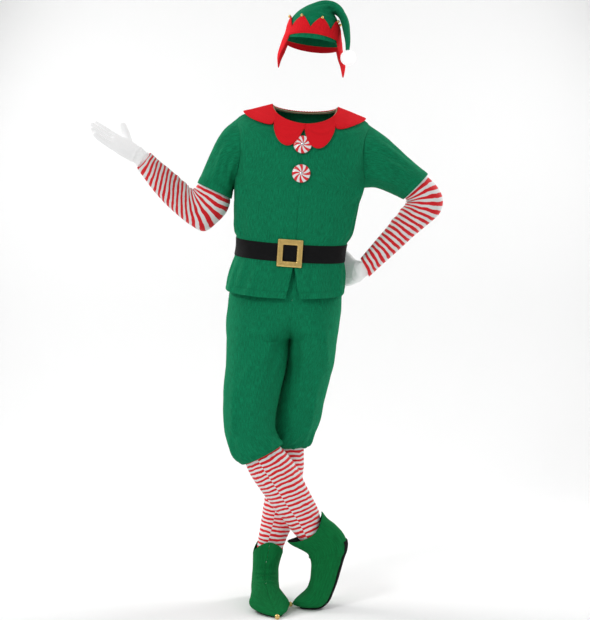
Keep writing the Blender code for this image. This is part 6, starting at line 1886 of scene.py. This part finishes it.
def build_shoe(name, surface, last, side_names, sole_places, top_dip):
    """Two felt sides lined in black, a black sole, and the seams between them."""
    shares = spread_shares(0.17, 0.17 / SHOE_COLUMNS_FINE)
    places = places_along(surface, pi / 2.0, 0.0, float(last), step=0.0044)
    seams = []
    for side, start in zip(side_names, (0.0, pi)):
        clear = surface.turn_for(SEAM_GAP / 2.0, start, places)
        clear_end = surface.turn_for(SEAM_GAP / 2.0, start + pi, places)
        turn = (start + clear)[:, None] + (pi - clear - clear_end)[:, None] * shares[None, :]
        place = places[:, None] + top_dip * np.sin(turn) ** 2 * np.maximum(0.0, 1.0 - places[:, None] / 3.0)
        from_top = end_distance(surface, turn, place, 0)
        small = np.interp(place, (last - 2.0, last), (1.0, 0.25))
        lift = small * (rolled_edge(edge_distance(surface, turn, place), 0.0012) + rolled_edge(from_top, 0.0007)
                        + cloth_waves(surface, turn, place, 103, 0.9))
        piece = cloth(f"{name}_{side}", surface, turn, place, FELT, [material("shoe felt"), material("shoe inside shade")],
                      lift)
        declare(piece)
        seams.append(surface.point(turn[0], place[0] + 0.10, 0.0001))
    stitch_line(name + "_top_stitches", seams, "green thread", 0.0045, 0.0032, 0.0007)
    half = SOLE_HALF_TURN
    turn, place = np.meshgrid(np.linspace(pi - half, pi + half, 41), np.linspace(*sole_places, 90))
    edge = np.minimum(edge_distance(surface, turn, place),
                      np.minimum(end_distance(surface, turn, place, 0), end_distance(surface, turn, place, 1)))
    plain = type(surface)(surface.rows) if isinstance(surface, ShoeSurface) else TubeSurface(
        surface.rows, square=SHOE_SQUARE)
    piece = cloth(name + "_sole", plain, turn, place, SOLE_THICK, [material("sole sheet")],
                  SOLE_THICK + LAID_ON + rolled_edge(edge, 0.0009, 0.0016))
    declare(piece)


def build_shoes():
    build_shoe("shoe_left", ShoeSurface(SHOE_LEFT, SHOE_CREASES_LEFT), len(SHOE_LEFT) - 1, ("outer", "inner"),
               (4.6, 11.6), 1.3)
    build_shoe("shoe_right", TubeSurface(SHOE_RIGHT, SHOE_CREASES_RIGHT, square=SHOE_SQUARE),
               len(SHOE_RIGHT) - 1, ("inner", "outer"), (3.8, 13.6), 1.2)


# Flat cut of each cloth piece before it was sewn: width, length and area in metres
CUTS = {
    "tunic_front_right": (0.272, 0.685, 0.1346),
    "tunic_front_left": (0.265, 0.678, 0.1249),
    "tunic_back": (0.515, 0.681, 0.2635),
    "tunic_sleeve_right": (0.527, 0.234, 0.0562),
    "tunic_sleeve_left": (0.499, 0.241, 0.0785),
    "tunic_collar": (1.311, 0.09, 0.0553),
    "neck_tape": (0.61, 0.011, 0.0049),
    "belt": (0.891, 0.053, 0.047),
    "breeches_right": (0.626, 0.639, 0.3066),
    "breeches_left": (0.559, 0.649, 0.2712),
    "striped_sleeve_right": (0.357, 0.447, 0.0946),
    "striped_sleeve_left": (0.321, 0.47, 0.0947),
    "stocking_right": (0.381, 0.35, 0.1116),
    "stocking_left": (0.333, 0.393, 0.1113),
    "hat_crown": (0.578, 0.371, 0.0819),
    "hat_band": (0.829, 0.155, 0.0498),
    "shoe_left_outer": (0.195, 0.467, 0.048),
    "shoe_left_inner": (0.198, 0.468, 0.0481),
    "shoe_left_sole": (0.078, 0.286, 0.0189),
    "shoe_right_inner": (0.199, 0.412, 0.0436),
    "shoe_right_outer": (0.2, 0.412, 0.0437),
    "shoe_right_sole": (0.075, 0.28, 0.0185),
}


def declare(piece):
    """Declare a cloth piece with its flat cut."""
    width, length, area = CUTS[piece.name.split(".")[0]]


def clear_from_behind(paper):
    """Let a camera outside the set look through the back of its paper."""
    tree = paper.node_tree
    output = next(node for node in tree.nodes if node.type == "OUTPUT_MATERIAL")
    front = output.inputs["Surface"].links[0].from_socket
    seen = calc(tree, "MULTIPLY", add_node(tree, "ShaderNodeNewGeometry").outputs["Backfacing"],
                add_node(tree, "ShaderNodeLightPath").outputs["Is Camera Ray"])
    both = add_node(tree, "ShaderNodeMixShader")
    tree.links.new(seen, both.inputs[0])
    tree.links.new(front, both.inputs[1])
    tree.links.new(add_node(tree, "ShaderNodeBsdfTransparent").outputs[0], both.inputs[2])
    tree.links.new(both.outputs[0], output.inputs["Surface"])


# Stage: pale floor and backdrop, soft lights, camera
def build_stage(colour, strength):
    low = -SHOULDER_HEIGHT
    bm = bmesh.new()
    profile = [(-3.5, 0.0), (1.6, 0.0)] + [(1.6 + 0.8 * sin(angle), 0.8 - 0.8 * cos(angle))
                                           for angle in np.linspace(0.15, pi / 2.0, 12)] + [(2.4, 4.0)]
    columns = [[bm.verts.new((x, y, z + low)) for y, z in profile] for x in (-5.0, 5.0)]
    for at in range(len(profile) - 1):
        bm.faces.new((columns[0][at], columns[1][at], columns[1][at + 1], columns[0][at + 1]))
    mesh = bpy.data.meshes.new("stage_floor")
    bm.to_mesh(mesh)
    bm.free()
    mesh.shade_smooth()
    clear_from_behind(plain_stage_material("stage paper", tuple(colour), 0.9))
    floor = new_object("stage_floor", mesh, material("stage paper"))
    for name, place, aim, size, power in (
            ("key", (-2.3, -2.9, 1.7), (-0.05, 0.0, -0.45), 1.1, 48.0),
            ("fill", (2.5, -3.0, 0.5), (0.0, 0.0, -0.6), 2.2, 10.0),
            ("rim_left", (-2.1, 1.2, 0.6), (0.0, 0.0, -0.5), 1.2, 36.0),
            ("rim_right", (2.1, 1.1, 0.7), (0.0, 0.0, -0.5), 1.2, 36.0),
            ("top", (0.0, -0.4, 2.4), (0.0, 0.0, 0.0), 2.4, 9.0)):
        light = bpy.data.lights.new(name, "AREA")
        light.shape, light.size, light.energy = "DISK", size, power * strength
        lamp = bpy.data.objects.new(name, light)
        lamp.location = place
        lamp.rotation_euler = (Vector(aim) - Vector(place)).to_track_quat("-Z", "Y").to_euler()
        bpy.context.scene.collection.objects.link(lamp)
    world = bpy.data.worlds.new("soft room")
    world.use_nodes = True
    world.node_tree.nodes["Background"].inputs[0].default_value = (1.0, 1.0, 1.0, 1.0)
    world.node_tree.nodes["Background"].inputs[1].default_value = 0.42 * strength
    bpy.context.scene.world = world
    bpy.context.scene.view_settings.view_transform = "Standard"
    camera = bpy.data.cameras.new("photo_view")
    camera.lens, camera.sensor_width = CAMERA_LENS, CAMERA_SENSOR
    viewer = bpy.data.objects.new("photo_view", camera)
    viewer.location = CAMERA_PLACE
    viewer.rotation_euler = (radians(90.0 - CAMERA_DOWN), 0.0, 0.0)
    bpy.context.scene.collection.objects.link(viewer)
    bpy.context.scene.camera = viewer


# Add-on
def colour_property(name, description, default):
    return bpy.props.FloatVectorProperty(name=name, description=description, subtype="COLOR", size=3,
                                         min=0.0, max=1.0, default=default)


class CostumeColours(bpy.types.PropertyGroup):
    green: colour_property("Fleece", "Colour of the tunic, breeches and hat", (0.0042, 0.195, 0.085))
    red: colour_property("Red felt", "Colour of the collar and the hat band", (0.78, 0.012, 0.020))
    shoe_green: colour_property("Shoe felt", "Colour of the shoe covers", (0.004, 0.155, 0.040))
    stripe_red: colour_property("Red stripes", "Red of the sleeves and stockings", (0.72, 0.010, 0.018))
    white: colour_property("White", "White of the stripes, gloves and pompom", (0.84, 0.84, 0.84))
    floor: colour_property("Floor", "Colour of the stage", (0.93, 0.93, 0.93))


class CostumeSizes(bpy.types.PropertyGroup):
    hammering: bpy.props.FloatProperty(name="Hammering", description="Depth of the dents in the buckle's foil",
                                       default=0.0009, min=0.0, max=0.002, unit="LENGTH", precision=4)
    wedges: bpy.props.IntProperty(name="Wedges", description="Red wedges round each button",
                                  default=8, min=4, max=16)
    yarn: bpy.props.FloatProperty(name="Yarn", description="Strands of yarn to the square metre on the pompom",
                                  default=2600000.0, min=100000.0, max=4000000.0)
    seed: bpy.props.IntProperty(name="Seed", description="Order of the pompom's strands", default=7, min=0)
    light: bpy.props.FloatProperty(name="Light", description="Strength of every light",
                                   default=1.0, min=0.1, max=4.0)


def operator(name, label, about, action):
    """An operator class that runs one group's making."""
    def execute(self, context):
        action(context.scene)
        return {"FINISHED"}
    return type("COSTUME_OT_" + name, (bpy.types.Operator,),
                {"__doc__": about, "bl_idname": "costume." + name, "bl_label": label, "execute": execute})


STEPS = [
    operator("finishes", "Finishes", "Make every cloth, metal and plastic finish",
             lambda scene: build_materials(scene.costume_colours)),
    operator("tunic", "Tunic", "Make the tunic's fronts, back and short sleeves", lambda scene: build_tunic()),
    operator("collar", "Collar", "Make the petal collar and the neck tape", lambda scene: build_collar()),
    operator("belt", "Belt", "Make the elastic belt and its foil buckle",
             lambda scene: (build_belt(), build_buckle(scene.costume_sizes.hammering))),
    operator("buttons", "Buttons", "Make the two candy buttons",
             lambda scene: [build_button(name, scene.costume_sizes.wedges)
                            for name in ("button_upper", "button_lower")]),
    operator("breeches", "Breeches", "Make both halves of the knee breeches", lambda scene: build_breeches()),
    operator("sleeves", "Striped sleeves", "Make the striped jersey sleeves", lambda scene: build_arm_tubes()),
    operator("stockings", "Stockings", "Make the striped stockings", lambda scene: build_leg_tubes()),
    operator("hat", "Hat", "Make the hat's crown and its felt band",
             lambda scene: (build_crown(), build_band())),
    operator("bells", "Bells", "Make the bells of the hat and the shoe covers", lambda scene: build_bells()),
    operator("pompom", "Pompom", "Make the hat's yarn pompom",
             lambda scene: build_pompom(scene.costume_sizes.yarn, scene.costume_sizes.seed)),
    operator("gloves", "Gloves", "Make both gloves", lambda scene: build_gloves()),
    operator("shoes", "Shoe covers", "Make both shoe covers and their soles", lambda scene: build_shoes()),
    operator("stage", "Stage", "Make the floor, the lights and the camera",
             lambda scene: build_stage(scene.costume_colours.floor, scene.costume_sizes.light)),
]


class COSTUME_PT_panel(bpy.types.Panel):
    """Sizes, colours and the steps that make the costume."""
    bl_idname = "COSTUME_PT_panel"
    bl_label = "Elf costume"
    bl_space_type = "VIEW_3D"
    bl_region_type = "UI"
    bl_category = "Costume"

    def draw(self, context):
        for group in (context.scene.costume_colours, context.scene.costume_sizes):
            for key in group.__annotations__:
                self.layout.prop(group, key)
        for step in STEPS:
            self.layout.operator(step.bl_idname)


CLASSES = [CostumeColours, CostumeSizes, *STEPS, COSTUME_PT_panel]


def register():
    for item in CLASSES:
        bpy.utils.register_class(item)
    bpy.types.Scene.costume_colours = bpy.props.PointerProperty(type=CostumeColours)
    bpy.types.Scene.costume_sizes = bpy.props.PointerProperty(type=CostumeSizes)


def unregister():
    del bpy.types.Scene.costume_sizes, bpy.types.Scene.costume_colours
    for item in reversed(CLASSES):
        bpy.utils.unregister_class(item)


def main():
    register()
    for step in STEPS:
        getattr(bpy.ops.costume, step.bl_idname.split(".")[1])()


if __name__ == "__main__":
    main()
